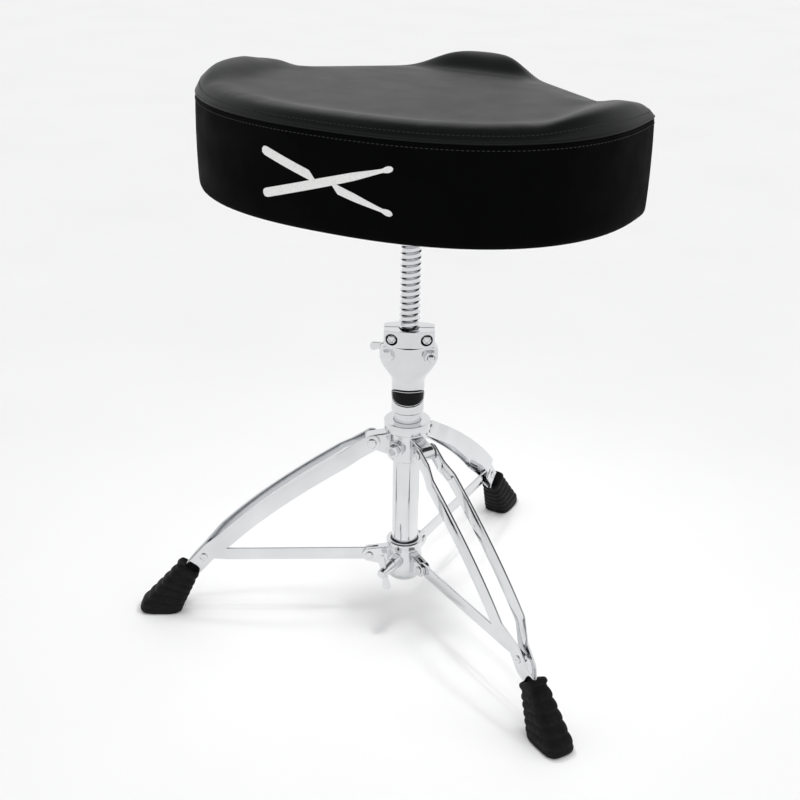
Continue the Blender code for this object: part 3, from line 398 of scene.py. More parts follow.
def arc(radius, start, end, count, centre=(0, 0)):
    angles = [radians(start + (end - start) * i / count) for i in range(count + 1)]
    return [(centre[0] + radius * cos(a), centre[1] + radius * sin(a)) for a in angles]


def smoothstep(value):
    value = min(1.0, max(0.0, value))
    return value * value * (3 - 2 * value)


def scratch_object(bm):
    bmesh.ops.recalc_face_normals(bm, faces=bm.faces)
    mesh = bpy.data.meshes.new("scratch")
    bm.to_mesh(mesh)
    bm.free()
    obj = bpy.data.objects.new("scratch", mesh)
    bpy.context.scene.collection.objects.link(obj)
    return obj


def evaluated(obj, others=()):
    """The object's mesh with its modifiers applied, as a bmesh; the scratch objects go."""
    bpy.context.view_layer.update()
    shape = obj.evaluated_get(bpy.context.evaluated_depsgraph_get())
    bm = bmesh.new()
    bm.from_mesh(shape.to_mesh())
    shape.to_mesh_clear()
    for gone in (obj, *others):
        mesh = gone.data
        bpy.data.objects.remove(gone)
        bpy.data.meshes.remove(mesh)
    return bm


def cast(shapes, cutters=(), voxel=0.0005, rounds=5):
    """Overlapping closed shapes fused and softened like a casting, then cut by machined holes."""
    obj = scratch_object(merged(*shapes))
    fuse = obj.modifiers.new("fuse", "REMESH")
    fuse.mode = "VOXEL"
    fuse.voxel_size = voxel
    soften = obj.modifiers.new("soften", "SMOOTH")
    soften.factor = 0.5
    soften.iterations = rounds
    return cut_out(obj, cutters)


def cut_out(obj, cutters):
    tools = [scratch_object(cutter) for cutter in cutters]
    for tool in tools:
        step = obj.modifiers.new("cut", "BOOLEAN")
        step.operation = "DIFFERENCE"
        step.solver = "EXACT"
        step.object = tool
    return evaluated(obj, tools)


def piece(name, bm, look, body, stands_for=None, turn=0.0, at=(0, 0, 0), crease=35):
    """A bmesh built about the column's axis (turned by degrees), as a named piece on a body.

    A list of CAD nodes hides the nodes that the piece stands for.
    """
    matrix = Matrix.Translation((0, COLUMN_Y, 0)) @ Matrix.Rotation(radians(turn), 4, "Z")
    bmesh.ops.transform(bm, matrix=matrix @ Matrix.Translation(at), verts=bm.verts)
    bmesh.ops.recalc_face_normals(bm, faces=bm.faces)
    mesh = bpy.data.meshes.new(name)
    bm.to_mesh(mesh)
    bm.free()
    mesh.shade_smooth()
    mesh.set_sharp_from_angle(angle=radians(crease))
    mesh.materials.append(LOOK[look])
    obj = bpy.data.objects.new(name, mesh)
    bpy.context.scene.collection.objects.link(obj)
    if stands_for:
        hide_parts(*stands_for)
    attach(obj, body)
    return obj


def cross_hole(radius, half_long, at, count=32):
    return crosswise(cylinder(radius, -half_long, half_long, count), at)


def crosswise(bm, spot):
    """A shape along Z laid along Y at (x, z)."""
    return moved(bm, 90, "X", (spot[0], 0, spot[1]))


def to_side(bm, height):
    """A shape along +Z laid over to point at the set bolt's side."""
    moved(moved(bm, 90, "Y"), -90, "Z")
    return moved(bm, 0, "Z", (0, 0, height))


def side_hole(radius, start, end, height):
    return to_side(cylinder(radius, start, end), height)


def pin(length, radius, head_r, head_high, count=40):
    """A pin with a domed head at both ends and a small dimple in each."""
    top = length / 2
    dome = [(head_r, top + head_high * 0.25)]
    for k in range(1, 7):
        angle = radians(90 * k / 7)
        dome.append((head_r * cos(angle * 0.92), top + head_high * (0.25 + 0.75 * sin(angle))))
    dome += [(0.0006, top + head_high * 0.97), (0, top + head_high * 0.9)]
    half = [(radius, top), (head_r * 0.94, top)] + dome
    return turned([(r, -z) for r, z in reversed(half)] + half, count)


def bolt(head_flat, head_high, shank_r, shank_long, socket_r=0.0):
    """A hexagon bolt with a chamfered head: head above z = 0 and shank below."""
    profile = [(0, -shank_long), (shank_r * 0.75, -shank_long), (shank_r, -shank_long + 0.0012)]
    rows = max(3, int(shank_long / 0.0007))
    for k in range(rows + 1):
        z = -shank_long + 0.0012 + (shank_long - 0.0015) * k / rows
        profile.append((shank_r * (1.0 if k % 2 else 0.93), z))
    profile += [(head_flat * 0.96, 0, 6), (head_flat, 0.0003, 6), (head_flat, head_high - 0.0011, 6),
                (head_flat * 0.985, head_high - 0.0006, 6), (head_flat * 0.93, head_high)]
    if socket_r:
        profile += [(socket_r * 1.12, head_high), (socket_r, head_high - 0.0004),
                    (socket_r, head_high * 0.3), (0, head_high * 0.3)]
    else:
        profile += [(head_flat * 0.5, head_high + 0.0001), (0, head_high + 0.0001)]
    return turned(profile, 72)


# ---------------------------------------------------------------- column

TUBE_R, TUBE_BORE = 0.01585, 0.0143
TUBE_Z = (0.056, 0.3)
LEG_PIVOT = (0.0414, 0.2356)
STRUT_PIVOT = (0.0429, 0.0793)
LEG_RIVET = (0.246, 0.0775)
LEG_END = (0.274, 0.04)
STRIP_OUT = 0.0062      # a strip's middle from the leg's own plane, at the rivet
STRIP_WIDTH, STRIP_THICK = 0.02, 0.0025
SIDE_BOLT_Z = LEG_PIVOT[1] - 0.001


def build_column():
    low, high = TUBE_Z
    tube = eased([(TUBE_BORE, low), (TUBE_R, low), (TUBE_R, high), (TUBE_BORE, high)], 0.0004, closed=True)
    piece("column_tube", turned(tube, 96, True), "chrome", "column", ["centre_tube"])
    plug = eased([(0, 0.048), (0.009, 0.049), (TUBE_R - 0.002, 0.052), (TUBE_R, 0.0557), (0.014, 0.0557),
                  (0.014, 0.072), (0, 0.072)], 0.0008)
    piece("tube_plug", turned(plug), "nylon", "column", ["tube_end_plug"])

    base, top = 0.251, 0.2632
    ring = [(0.0162, base), (0.0262, base), (0.0272, base + 0.001), (0.0272, top - 0.0005), (0.0267, top),
            (0.0168, top), (0.0162, top - 0.0006)]
    collar = turned(eased(ring, 0.0003, closed=True), 112, True)
    piece("hub_top_collar", collar, "cast_chrome", "column", ["top_collar"])

    low, high = 0.214, 0.2507
    sleeve = turned([(0, low), (0.0212, low), (0.0225, low + 0.0015), (0.0225, high - 0.0015), (0.0212, high),
                     (0, high)], 72)
    outline = [(0.012, low + 0.0015)] + arc(0.0088, -90, 90, 24, LEG_PIVOT) + [(0.012, high - 0.0015)]
    lobes = [moved(softened(plate(outline, 0.0088), 0.0018, 2), turn) for turn in LEG_TURNS]
    boss = to_side(turned([(0, 0.014), (0.0098, 0.014), (0.0094, 0.024), (0.0087, 0.0298), (0, 0.03)], 48),
                   SIDE_BOLT_Z)
    bore = cylinder(TUBE_R + 0.0002, low - 0.01, high + 0.01, 72)
    cuts = [bore, side_hole(0.0042, 0.012, 0.034, SIDE_BOLT_Z)]
    cuts += [moved(cross_hole(0.0041, 0.03, LEG_PIVOT), turn) for turn in LEG_TURNS]
    piece("hub_casting", cast([sleeve, *lobes, boss], cuts), "cast_chrome", "column", ["hub_bracket"])

    reach = 0.0303
    piece("hub_side_bolt", moved(bolt(0.0072, 0.007, 0.0039, reach - TUBE_R - 0.0003, 0.0042), 90, "X",
                                 (0, -reach, SIDE_BOLT_Z)), "chrome", "column", ["hub_set_bolt"])
    for number, turn in enumerate(LEG_TURNS, 1):
        made = crosswise(pin(2 * (0.0105 + 0.00125 + 0.0003), 0.0039, 0.0058, 0.0026), LEG_PIVOT)
        piece(f"leg_{number}_axle", made, "chrome", "column", [f"leg_{number}_pivot_pin"], turn)


# ---------------------------------------------------------------- legs

def leg_curve(fraction):
    """Point (x, z) and slope of a strip's middle line, from hub pivot to foot."""
    steep = [radians(31), radians(54)]
    start, end = Vector(LEG_PIVOT), Vector(LEG_END)
    first = start + 0.155 * Vector((cos(steep[0]), -sin(steep[0])))
    second = end - 0.078 * Vector((cos(steep[1]), -sin(steep[1])))
    rest = 1 - fraction
    point = (rest**3 * start + 3 * rest**2 * fraction * first
             + 3 * rest * fraction**2 * second + fraction**3 * end)
    slope = (rest**2 * (first - start) + 2 * rest * fraction * (second - first)
             + fraction**2 * (end - second)).normalized()
    return point, slope


def ramp(value, start, end, bend=0.0014):
    """From 0 to 1 in a straight line with a short bend at each end."""
    total = 0
    for k in range(-4, 5):
        total += min(1.0, max(0.0, (value + bend * k / 4 - start) / (end - start)))
    return total / 9


def strip_offset(point):
    """How far a strip's middle stands from the leg's own plane: straight runs and short joggles."""
    out = (point - Vector(LEG_PIVOT)).length
    to_rivet = (Vector(LEG_RIVET) - point).length
    if point.x > LEG_RIVET[0]:
        return STRIP_OUT - 0.0046 * smoothstep((to_rivet - 0.01) / 0.02)
    flare = 0.0105 + 0.0045 * ramp(out, 0.021, 0.0405)
    return STRIP_OUT + (flare - STRIP_OUT) * ramp(to_rivet, 0.0125, 0.04)


def strip_mesh(side):
    ends = [(*leg_curve(0), STRIP_WIDTH / 2 * cos(radians(a)), -STRIP_WIDTH / 2 * sin(radians(a)))
            for a in range(86, 0, -6)]
    stations = ends + [(*leg_curve(k / 180), STRIP_WIDTH / 2, 0.0) for k in range(181)]
    half_thick, edge = STRIP_THICK / 2, 0.0007
    corner = [(0.0, 1.0), (0.5, 0.866), (0.866, 0.5), (1.0, 0.0)]
    rings = []
    for point, slope, half, back in stations:
        across = Vector((-slope.y, slope.x))
        centre = point + slope * back
        offset = strip_offset(centre if back == 0 else point)
        ring = []
        for sx, sy in ((1, 1), (1, -1), (-1, -1), (-1, 1)):
            order = corner if sx * sy > 0 else corner[::-1]
            for cx, cy in order:
                wide = sx * (max(half - edge, 0.0002) + edge * cx)
                deep = sy * (half_thick - edge + edge * cy)
                spot = centre + across * wide
                ring.append((spot.x, side * offset + deep, spot.y))
        rings.append(ring)
    return lofted(rings)


def foot_ring(inner, outer, half, count=44, power=0.55):
    ring = []
    for i in range(count):
        angle = tau * (i + 0.5) / count
        along = copysign(abs(cos(angle)) ** power, cos(angle)) / 2 + 0.5
        side = copysign(abs(sin(angle)) ** power, sin(angle)) * half
        ring.append((inner.x + (outer.x - inner.x) * along, side, inner.y + (outer.y - inner.y) * along))
    return ring


def foot_mesh():
    """Moulded rubber foot: a bead round the strips, then stepped ribs that grow to the sole."""
    rings = []
    bead = [((0.257, 0.0515), (0.2735, 0.0635), 0.0075), ((0.2545, 0.053), (0.275, 0.0676), 0.0105),
            ((0.2536, 0.0517), (0.2762, 0.0672), 0.0122), ((0.2535, 0.05), (0.277, 0.0662), 0.0129),
            ((0.254, 0.0482), (0.2788, 0.0655), 0.0131), ((0.255, 0.0466), (0.2798, 0.0645), 0.0127),
            ((0.2563, 0.0452), (0.2797, 0.0625), 0.0119), ((0.2575, 0.0443), (0.279, 0.0607), 0.0114)]
    for inner, outer, half in bead:
        rings.append(foot_ring(Vector(inner), Vector(outer), half))
    top_in, top_out = Vector((0.2585, 0.042)), Vector((0.2815, 0.0585))
    low_in, low_out = Vector((0.276, 0.0045)), Vector((0.3268, 0.008))
    steps, rows = 5, 9
    for k in range(steps * rows + 1):
        share = k / (steps * rows)
        phase = (share * steps) % 1.0
        proud = 0.0018 * sin(pi * min(1.0, phase / 0.9)) ** 0.6 * (0.55 + 0.45 * phase) if k % rows else 0.0
        inner = top_in.lerp(low_in, share) - Vector((proud, 0))
        outer = top_out.lerp(low_out, share) + Vector((proud, proud * 0.5))
        rings.append(foot_ring(inner, outer, 0.0118 + 0.0058 * share + proud))
    sole = [((0.275, 0.0034), (0.328, 0.0052), 0.0183), ((0.2758, 0.0014), (0.3276, 0.0022), 0.0182),
            ((0.2772, 0.0003), (0.3265, 0.0005), 0.0175), ((0.2785, 0.0), (0.3255, 0.0), 0.0165)]
    for inner, outer, half in sole:
        rings.append(foot_ring(Vector(inner), Vector(outer), half))
    return lofted(rings)


def rivet_mesh():
    """A rivet head along +Z that stands on the strip's outer face."""
    inner, outer = STRIP_OUT - STRIP_THICK / 2, STRIP_OUT + STRIP_THICK / 2 + 0.0001
    dome = [(0.0048, outer + 0.0005)] + [(0.0048 * cos(radians(a)), outer + 0.0005 + 0.0017 * sin(radians(a)))
                                         for a in (20, 40, 58, 72)]
    return turned([(0, inner), (0.0026, inner), (0.0026, outer), (0.0046, outer)] + dome
                  + [(0.001, outer + 0.0021), (0.0008, outer + 0.0016), (0, outer + 0.0016)], 40)


def build_legs():
    for number, turn in enumerate(LEG_TURNS, 1):
        body = f"leg_{number}"
        for side, label in ((1, "left"), (-1, "right")):
            piece(f"{body}_bar_{label}", strip_mesh(side), "chrome", body, [f"{body}_strip_{label}"], turn,
                  crease=45)
            rivet = moved(rivet_mesh(), -90 * side, "X", (LEG_RIVET[0], 0, LEG_RIVET[1]))
            piece(f"{body}_rivet_head_{label}", rivet, "chrome", body, [f"{body}_rivet_{label}"], turn)
        piece(f"{body}_rubber_foot", foot_mesh(), "black_rubber", body, [f"{body}_foot"], turn, crease=60)


# ---------------------------------------------------------------- lower bracket and struts

def build_bracket():
    low, high = 0.05, 0.1
    wall = [(0, low), (0.0165, low), (0.0188, low + 0.002), (0.0212, low + 0.008), (0.0223, low + 0.016),
            (0.0216, low + 0.03), (0.0203, high - 0.01), (0.0209, high - 0.006), (0.0224, high - 0.001),
            (0.0222, high + 0.001), (0.0206, high + 0.0022), (0, high + 0.0022)]
    outline = [(0.012, low + 0.012)] + arc(0.0086, -90, 90, 24, STRUT_PIVOT) + [(0.012, high - 0.008)]
    ears = [moved(plate(outline, 0.0058), turn) for turn in LEG_TURNS]
    height = STRUT_PIVOT[1] + 0.0007
    boss = to_side(turned([(0, 0.014), (0.0098, 0.014), (0.0088, 0.026), (0.008, 0.035), (0, 0.035)], 48),
                   height)
    bore = turned([(0, low - 0.01), (0.01805, low - 0.01), (0.01805, high + 0.0013), (0.0172, high + 0.0014),
                   (0.0172, high + 0.0016), (0.0188, high + 0.0026), (0.0188, high + 0.01),
                   (0, high + 0.01)], 72)
    slot = [(STRUT_PIVOT[0] - 0.0105, low - 0.01), (0.06, low - 0.01), (0.06, high + 0.01),
            (STRUT_PIVOT[0] - 0.0105, high + 0.01)]
    cuts = [bore] + [moved(plate(slot, 0.0017), turn) for turn in LEG_TURNS]
    cuts += [moved(cross_hole(0.0031, 0.02, STRUT_PIVOT), turn) for turn in LEG_TURNS]
    cuts.append(side_hole(0.0042, 0.012, 0.04, height))
    casting = cast([turned(wall, 72), *ears, boss], cuts)
    piece("bracket_casting", casting, "cast_chrome", "lower_bracket", ["lower_bracket"])

    inner = TUBE_R + 0.0003
    long = 0.0353 - inner
    shank = [(0, 0), (0.0032, 0), (0.0039, 0.001)]
    rows = 20
    for k in range(rows + 1):
        shank.append((0.0039 if k % 2 else 0.0036, 0.001 + (long - 0.0012) * k / rows))
    shank += [(0.0039, long), (0, long)]
    hub = [(0, long), (0.0078, long), (0.0064, long + 0.014), (0.005, long + 0.0236),
           (0.0036, long + 0.0248), (0, long + 0.025)]
    tip = 0.023
    corners = [(-tip, 0.006, 0.004), (-tip, -0.006, 0.004), (-0.006, -0.003, 0.003), (0.006, -0.003, 0.003),
               (tip, -0.006, 0.004), (tip, 0.006, 0.004), (0.006, 0.003, 0.003), (-0.006, 0.003, 0.003)]
    body = cast([turned(hub, 48), orient_wings(corners, long + 0.0165)], voxel=0.0004, rounds=4)
    wing_bolt = moved(merged(turned(shank, 32), body), 90, "X", (0, -inner, height))
    piece("wing_bolt_casting", wing_bolt, "cast_chrome", "wing_bolt", ["wing_bolt"])


def orient_wings(corners, height):
    """The wings stand across a hub on the Z axis; they are turned about it by the bolt's rest angle."""
    wings = plate(rounded(corners, 10), 0.0017)
    moved(wings, 78, "Y")
    return moved(wings, -90, "X", (0, 0, height))


def build_struts():
    length = LEG_RIVET[0] - STRUT_PIVOT[0]
    tilt = degrees(atan2(STRUT_PIVOT[1] - LEG_RIVET[1], length))
    span = hypot(length, STRUT_PIVOT[1] - LEG_RIVET[1])
    outline = arc(0.008, 90, 270, 24) + [(span - 0.03, -0.008)] + arc(0.0058, -85, 85, 20, (span, 0))
    outline.append((span - 0.03, 0.008))
    for number, turn in enumerate(LEG_TURNS, 1):
        body = f"strut_{number}"
        bar = softened(plate(outline, 0.0014), 0.0006, 3)
        moved(bar, tilt, "Y", (STRUT_PIVOT[0], 0, STRUT_PIVOT[1]))
        piece(f"{body}_bar", bar, "chrome", body, [body], turn, crease=50)
        bush = turned(eased([(0, -0.0029), (0.0034, -0.0029), (0.0034, 0.0029), (0, 0.0029)], 0.0004), 32)
        piece(f"{body}_spacer", crosswise(bush, LEG_RIVET), "zinc", body, [f"{body}_bush"], turn)
        rivet = crosswise(pin(2 * (0.0058 + 0.0002), 0.0029, 0.0047, 0.0022), STRUT_PIVOT)
        piece(f"{body}_rivet", rivet, "chrome", "lower_bracket", [f"{body}_pin"], turn)


# ---------------------------------------------------------------- height clamp and memory lock

CLAMP_BOLT = (0.0255, 0.347)
LOCK_BOLT = (0.02, 0.3685)
EAR_FACE = 0.0108
NECK_R = 0.0193


def clamp_section(width, height, count=160):
    """Round below; a lens that narrows smoothly to an ear each side once it is wide enough."""
    core, ear = NECK_R, 0.0105
    if width <= core:
        return [(width * cos(a), width * sin(a), height) for a in np.linspace(0, tau, count + 1)[:-1]]
    spread = smoothstep((width - core) / 0.008)
    front = []
    for k in range(count // 2 + 1):
        x = width * cos(pi * k / (count // 2))
        across = abs(x)
        disc = sqrt(max(0.0, core ** 2 - across ** 2)) if across < core else 0.0
        lens = ear + (core - ear) * (0.5 + 0.5 * cos(pi * min(1.0, across / 0.0265)))
        tip = ear * sqrt(max(0.0, 1 - max(0.0, (across - width + ear * 0.42) / (ear * 0.42)) ** 2))
        deep = max(disc * (1 - spread), min(lens, tip) if across > width - ear * 0.42 else lens)
        oval = core * sqrt(max(0.0, 1 - (across / width) ** 2))
        front.append((x, (1 - spread) * oval + spread * deep, height))
    return front + [(x, -y, z) for x, y, z in reversed(front[1:-1])]


def on_clamp(name, bm, look, node, body="column"):
    piece(name, bm, look, body, [node], CLAMP_TURN)


def build_clamp():
    low, high = 0.275, 0.358
    widths = [(0.0182, low), (0.019, low + 0.001), (0.019, 0.312), (0.0194, 0.3155), (0.0205, 0.3185),
              (0.0222, 0.3215), (0.0245, 0.325), (0.0272, 0.3288), (0.0297, 0.3325), (0.0318, 0.336),
              (0.0331, 0.3395), (0.0339, 0.344), (0.034, 0.35), (0.0333, 0.3545), (0.0322, 0.357),
              (0.0308, high)]
    body = lofted([clamp_section(w, z) for w, z in widths])
    inside = turned([(0, low - 0.01), (0.0164, low - 0.01), (0.0164, low + 0.0002), (0.01605, low + 0.0008),
                     (0.01605, 0.3003), (0.0155, 0.3003), (0.0155, 0.34), (0.0123, 0.34),
                     (0.0123, high + 0.01), (0, high + 0.01)], 72)
    slit = prism([(-0.05, -0.0011), (-0.01, -0.0011), (-0.01, 0.0011), (-0.05, 0.0011)], 0.317, high + 0.01)
    side, height = CLAMP_BOLT
    cuts = [inside, slit] + [cross_hole(0.0043, 0.04, (x, height)) for x in (-side, side)]
    on_clamp("clamp_casting", cast([body], cuts, rounds=10), "cast_chrome", "height_clamp_casting")
    clamp_bolt = bolt(0.0068, 0.0054, 0.004, 2 * EAR_FACE + 0.011)
    on_clamp("clamp_bolt_hex", moved(clamp_bolt, 90, "X", (-side, -EAR_FACE, height)), "chrome", "clamp_bolt")
    hinge_bolt = bolt(0.0068, 0.0054, 0.004, 2 * EAR_FACE + 0.009)
    on_clamp("hinge_bolt_hex", moved(hinge_bolt, -90, "X", (side, EAR_FACE, height)), "chrome", "hinge_bolt")
    nut = [(0.0043, 0), (0.0065, 0, 6), (0.0068, 0.0006, 6), (0.0068, 0.0044, 6), (0.0066, 0.005, 6),
           (0.0061, 0.0054), (0.0047, 0.0054), (0.0043, 0.005)]
    nut = moved(turned(nut, 72, True), 90, "X", (side, -EAR_FACE, height))
    on_clamp("hinge_nut_hex", nut, "chrome", "hinge_nut")

    hub = [(0.0043, 0), (0.0076, 0), (0.007, 0.011), (0.006, 0.015), (0.0043, 0.015)]
    blade = rounded([(0.004, -0.003, 0), (0.02, -0.0058, 0.004), (0.02, 0.0058, 0.004),
                     (0.004, 0.003, 0)], 10)
    wings = [moved(plate(blade, 0.0015), turn, "Y") for turn in (-8, 172)]
    wings = [moved(wing, 90, "X", (0, 0, 0.0131)) for wing in wings]
    bore = cylinder(0.0043, -0.01, 0.02)
    nut = cast([turned([(0, 0)] + hub[1:4] + [(0, 0.015)], 48), *wings], [bore], voxel=0.0004, rounds=4)
    moved(nut, -90, "X", (-side, EAR_FACE, height))
    on_clamp("clamp_wing_casting", nut, "cast_chrome", "clamp_wing_nut", "clamp_wing")
    build_badge()


def neck_spot(across, height, radius):
    """A point on the front of the clamp's neck, by distance round it and height."""
    angle = radians(-90) + across / NECK_R
    return (radius * cos(angle), radius * sin(angle), height)


NECK_FACE = 0.01925
BADGE_Z = 0.2995
BADGE_WIDE, BADGE_UP, BADGE_DOWN = 0.025, 0.0076, 0.0133


def badge_outline(shrink=0.0, count=96):
    """A lens seen flat, shallow above and deep below."""
    points = []
    for i in range(count):
        across, up = cos(tau * i / count), sin(tau * i / count)
        x = (BADGE_WIDE - shrink) * copysign(abs(across) ** 0.85, across)
        reach = BADGE_UP if up > 0 else BADGE_DOWN
        points.append((x, (reach - shrink) * copysign(abs(up) ** 0.95, up)))
    return points


def neck_patch(rings):
    """A closed plate that wraps the neck, from rings of flat points and the height of each."""
    outer = [[neck_spot(x, BADGE_Z + y, NECK_FACE + lift) for x, y in ring] for ring, lift in rings]
    inner = [[neck_spot(x, BADGE_Z + y, NECK_FACE) for x, y in ring] for ring, _ in rings]
    return fan_closed(outer + inner[::-1])


def build_badge():
    """Plain enamel plate with a raised chrome line, and no lettering."""
    shares = (0.15, 0.3, 0.45, 0.6, 0.75, 0.9)
    flat = badge_outline()
    face = [([(x * s, y * s) for x, y in flat], 0.0006) for s in shares] + [(flat, 0.0006)]
    on_clamp("badge_face", neck_patch(face), "black_badge", "badge_plate")
    line = ((0.0015, 0.0005), (0.0016, 0.0008), (0.0019, 0.0009), (0.0022, 0.0008), (0.0023, 0.0005))
    rings = [[neck_spot(x, BADGE_Z + y, NECK_FACE + lift) for x, y in badge_outline(shrink)]
             for shrink, lift in line]
    piece("badge_rim", wrapped(rings), "chrome", "column", [], CLAMP_TURN)


def lock_outline(split):
    edge, deep = 0.012, 0.0188
    reach = 0.0285
    bulge = (reach ** 2 + (deep - edge) ** 2) / (2 * (deep - edge))
    swing = degrees(asin(reach / bulge))
    bore = 0.012
    start = degrees(asin(split / bore))
    front = arc(bulge, 270 - swing, 270 + swing, 40, (0, bulge - deep))
    outer = [(-0.029, -split), (-0.029, -edge + 0.001)] + front + [(0.029, -edge + 0.001), (0.029, -split)]
    return outer + arc(bore, 360 - start, 180 + start, 40)


def build_lock():
    low, high = 0.3591, 0.3785
    side, height = LOCK_BOLT
    for label, turn in (("front", 0), ("rear", 180)):
        cuts = [cross_hole(0.0033, 0.03, (x, height)) for x in (-side, side)]
        if label == "front":
            pockets = [cross_hole(0.007, 0.008, (x, height), 48) for x in (-side, side)]
            cuts += [moved(pocket, 0, "Z", (0, -0.0113 - 0.008, 0)) for pocket in pockets]
        shell = moved(prism(lock_outline(0.001), low, high), turn)
        half = cast([shell], cuts, voxel=0.0004, rounds=3)
        on_clamp(f"lock_{label}_half", half, "cast_chrome", f"memory_lock_{label}", "memory_lock")
    for x, label in ((-side, "left"), (side, "right")):
        # A black ring at the bottom of each bolt pocket: painted shade that darkens the recess.
        pocket_shade_ring = eased([(0.005, 0), (0.0068, 0), (0.0068, 0.0018), (0.005, 0.0018)], 0.0003, closed=True)
        piece(f"lock_pocket_shade_{label}", moved(turned(pocket_shade_ring, 40, True), 90, "X", (x, -0.0114, height)),
              "black_rubber", "memory_lock", turn=CLAMP_TURN)
        head = moved(bolt(0.0046, 0.0046, 0.003, 0.021, 0.003), 90, "X", (x, -0.0116, height))
        on_clamp(f"lock_bolt_{label}", head, "chrome", f"memory_lock_bolt_{label}", "memory_lock")


# ---------------------------------------------------------------- rod

def build_rod():
    """Right-hand thread of narrow rounded crests between wide hollow flanks."""
    pitch, low, high, columns, rows = 0.0073, 0.24, 0.505, 48, 16
    crest, root = 0.01185, 0.01
    turns = int((high - low) / pitch) + 3
    bm = bmesh.new()
    grid = []
    for j in range(columns):
        angle = tau * j / columns
        column = []
        for i in range(turns * rows + 1):
            z = low + pitch * (i / rows + j / columns - 1.5)
            phase = (i / rows + 0.5) % 1.0 - 0.5
            ridge = exp(-abs(phase / 0.135) ** 2)
            hollow = 0.0001 * (1 - cos(tau * phase)) / 2
            fade = smoothstep((high - 0.004 - z) / 0.008) * smoothstep((z - low) / 0.004)
            radius = root + 0.0002 + ((crest - root) * ridge - hollow) * fade
            column.append(bm.verts.new((radius * cos(angle), radius * sin(angle), z)))
        grid.append(column)
    for j in range(columns - 1):
        for i in range(turns * rows):
            bm.faces.new((grid[j][i], grid[j + 1][i], grid[j + 1][i + 1], grid[j][i + 1]))
    last, first = grid[-1], grid[0]
    for i in range(turns * rows - rows):
        bm.faces.new((last[i], first[i + rows], first[i + rows + 1], last[i + 1]))
    for z, up in ((low, -1), (high, 1)):
        parts = bm.verts[:] + bm.edges[:] + bm.faces[:]
        bmesh.ops.bisect_plane(bm, geom=parts, dist=1e-7, plane_co=(0, 0, z), plane_no=(0, 0, up),
                               clear_outer=True)
    bmesh.ops.holes_fill(bm, edges=[e for e in bm.edges if e.is_boundary])
    ends = [(0, 0.213), (0.007, 0.213), (0.008, 0.2145), (0.008, 0.2395), (0, 0.2395)]
    ends = turned(eased(ends, 0.0003), 48)
    spigot = [(0, 0.5035), (0.0108, 0.5035), (0.0112, 0.505), (0.0112, 0.5315), (0.0102, 0.5325), (0, 0.5325)]
    spigot = turned(eased(spigot, 0.0003), 64)
    piece("threaded_rod", merged(bm, ends, spigot), "chrome", "seat", ["height_rod"], crease=50)


# ---------------------------------------------------------------- seat

SEAT_WIDEST, NOSE_TIP = 0.03, 0.193
HALF_WIDE, REAR_DEEP, REAR_POWER = 0.247, 0.2135, 2.35
TOP_EDGE = 0.0178      # how far in the rings stop following the outline and shrink to the middle


def dense_outline(count=420):
    """The saddle seen from above, evenly spaced, starting at the middle of the rear."""
    right = []
    for i in range(80):
        share = sin(pi / 2 * i / 80)
        back = SEAT_WIDEST - REAR_DEEP * (1 - share ** REAR_POWER) ** (1 / REAR_POWER)
        right.append((HALF_WIDE * share, back))
    front = rounded([(0, SEAT_WIDEST, 0), (HALF_WIDE, SEAT_WIDEST, 0), (0.2465, 0.0625, 0.02),
                     (0.1868, 0.0675, 0.05), (0.0235, NOSE_TIP, 0.068), (0, NOSE_TIP, 0)], 4)
    right += front[1:]
    points = np.array(right + [(-x, y) for x, y in reversed(right[1:-1])] + right[:1])
    run = np.concatenate([[0], np.cumsum(np.linalg.norm(np.diff(points, axis=0), axis=1))])
    at = np.linspace(0, run[-1], count, endpoint=False)
    even = np.stack([np.interp(at, run, points[:, k]) for k in (0, 1)], axis=1)
    for _ in range(3):
        even = 0.25 * np.roll(even, 1, 0) + 0.5 * even + 0.25 * np.roll(even, -1, 0)
    return even, run[-1]


OUTLINE, PERIMETER = dense_outline()
TANGENT = np.roll(OUTLINE, -2, 0) - np.roll(OUTLINE, 2, 0)
TANGENT /= np.linalg.norm(TANGENT, axis=1)[:, None]
INWARD = np.stack([-TANGENT[:, 1], TANGENT[:, 0]], axis=1)


def eased_step(value):
    value = np.clip(value, 0, 1)
    return value * value * (3 - 2 * value)


def hump(offset, spread, power):
    """A flat-topped bell; the power sets how steep its sides are."""
    return np.exp(-np.abs(offset / spread) ** power)


def seat_rise(x, y, depth):
    """Height of the cover above the seam: round shoulder, rolled rim, two hips and the nose."""
    roll = np.sqrt(1 - (1 - np.clip(depth / 0.016, 0, 1)) ** 2)
    rear = 1 / (1 + np.exp((y - SEAT_WIDEST) / 0.01))
    rim = hump(depth - 0.019, 0.018, 2) * (0.001 + 0.0073 * rear)
    along = eased_step((y + 0.15) / 0.12) * hump(np.maximum(y + 0.02, 0), 0.093, 4)
    hips = 0.0077 * hump(np.abs(x) - 0.2157, 0.0245, 4) * along
    nose = 0.0168 * hump(x, 0.0745, 4) * hump(y - 0.177, np.where(y > 0.177, 0.0206, 0.034), 3)
    return roll * (0.005 + rim + hips + nose)


def seat_ring(inward, z):
    spots = OUTLINE + INWARD * inward
    return np.column_stack([spots, np.full(len(spots), z)])


def edge_distance(points):
    return np.sqrt(((points[:, None, :] - OUTLINE[None]) ** 2).sum(2)).min(1)


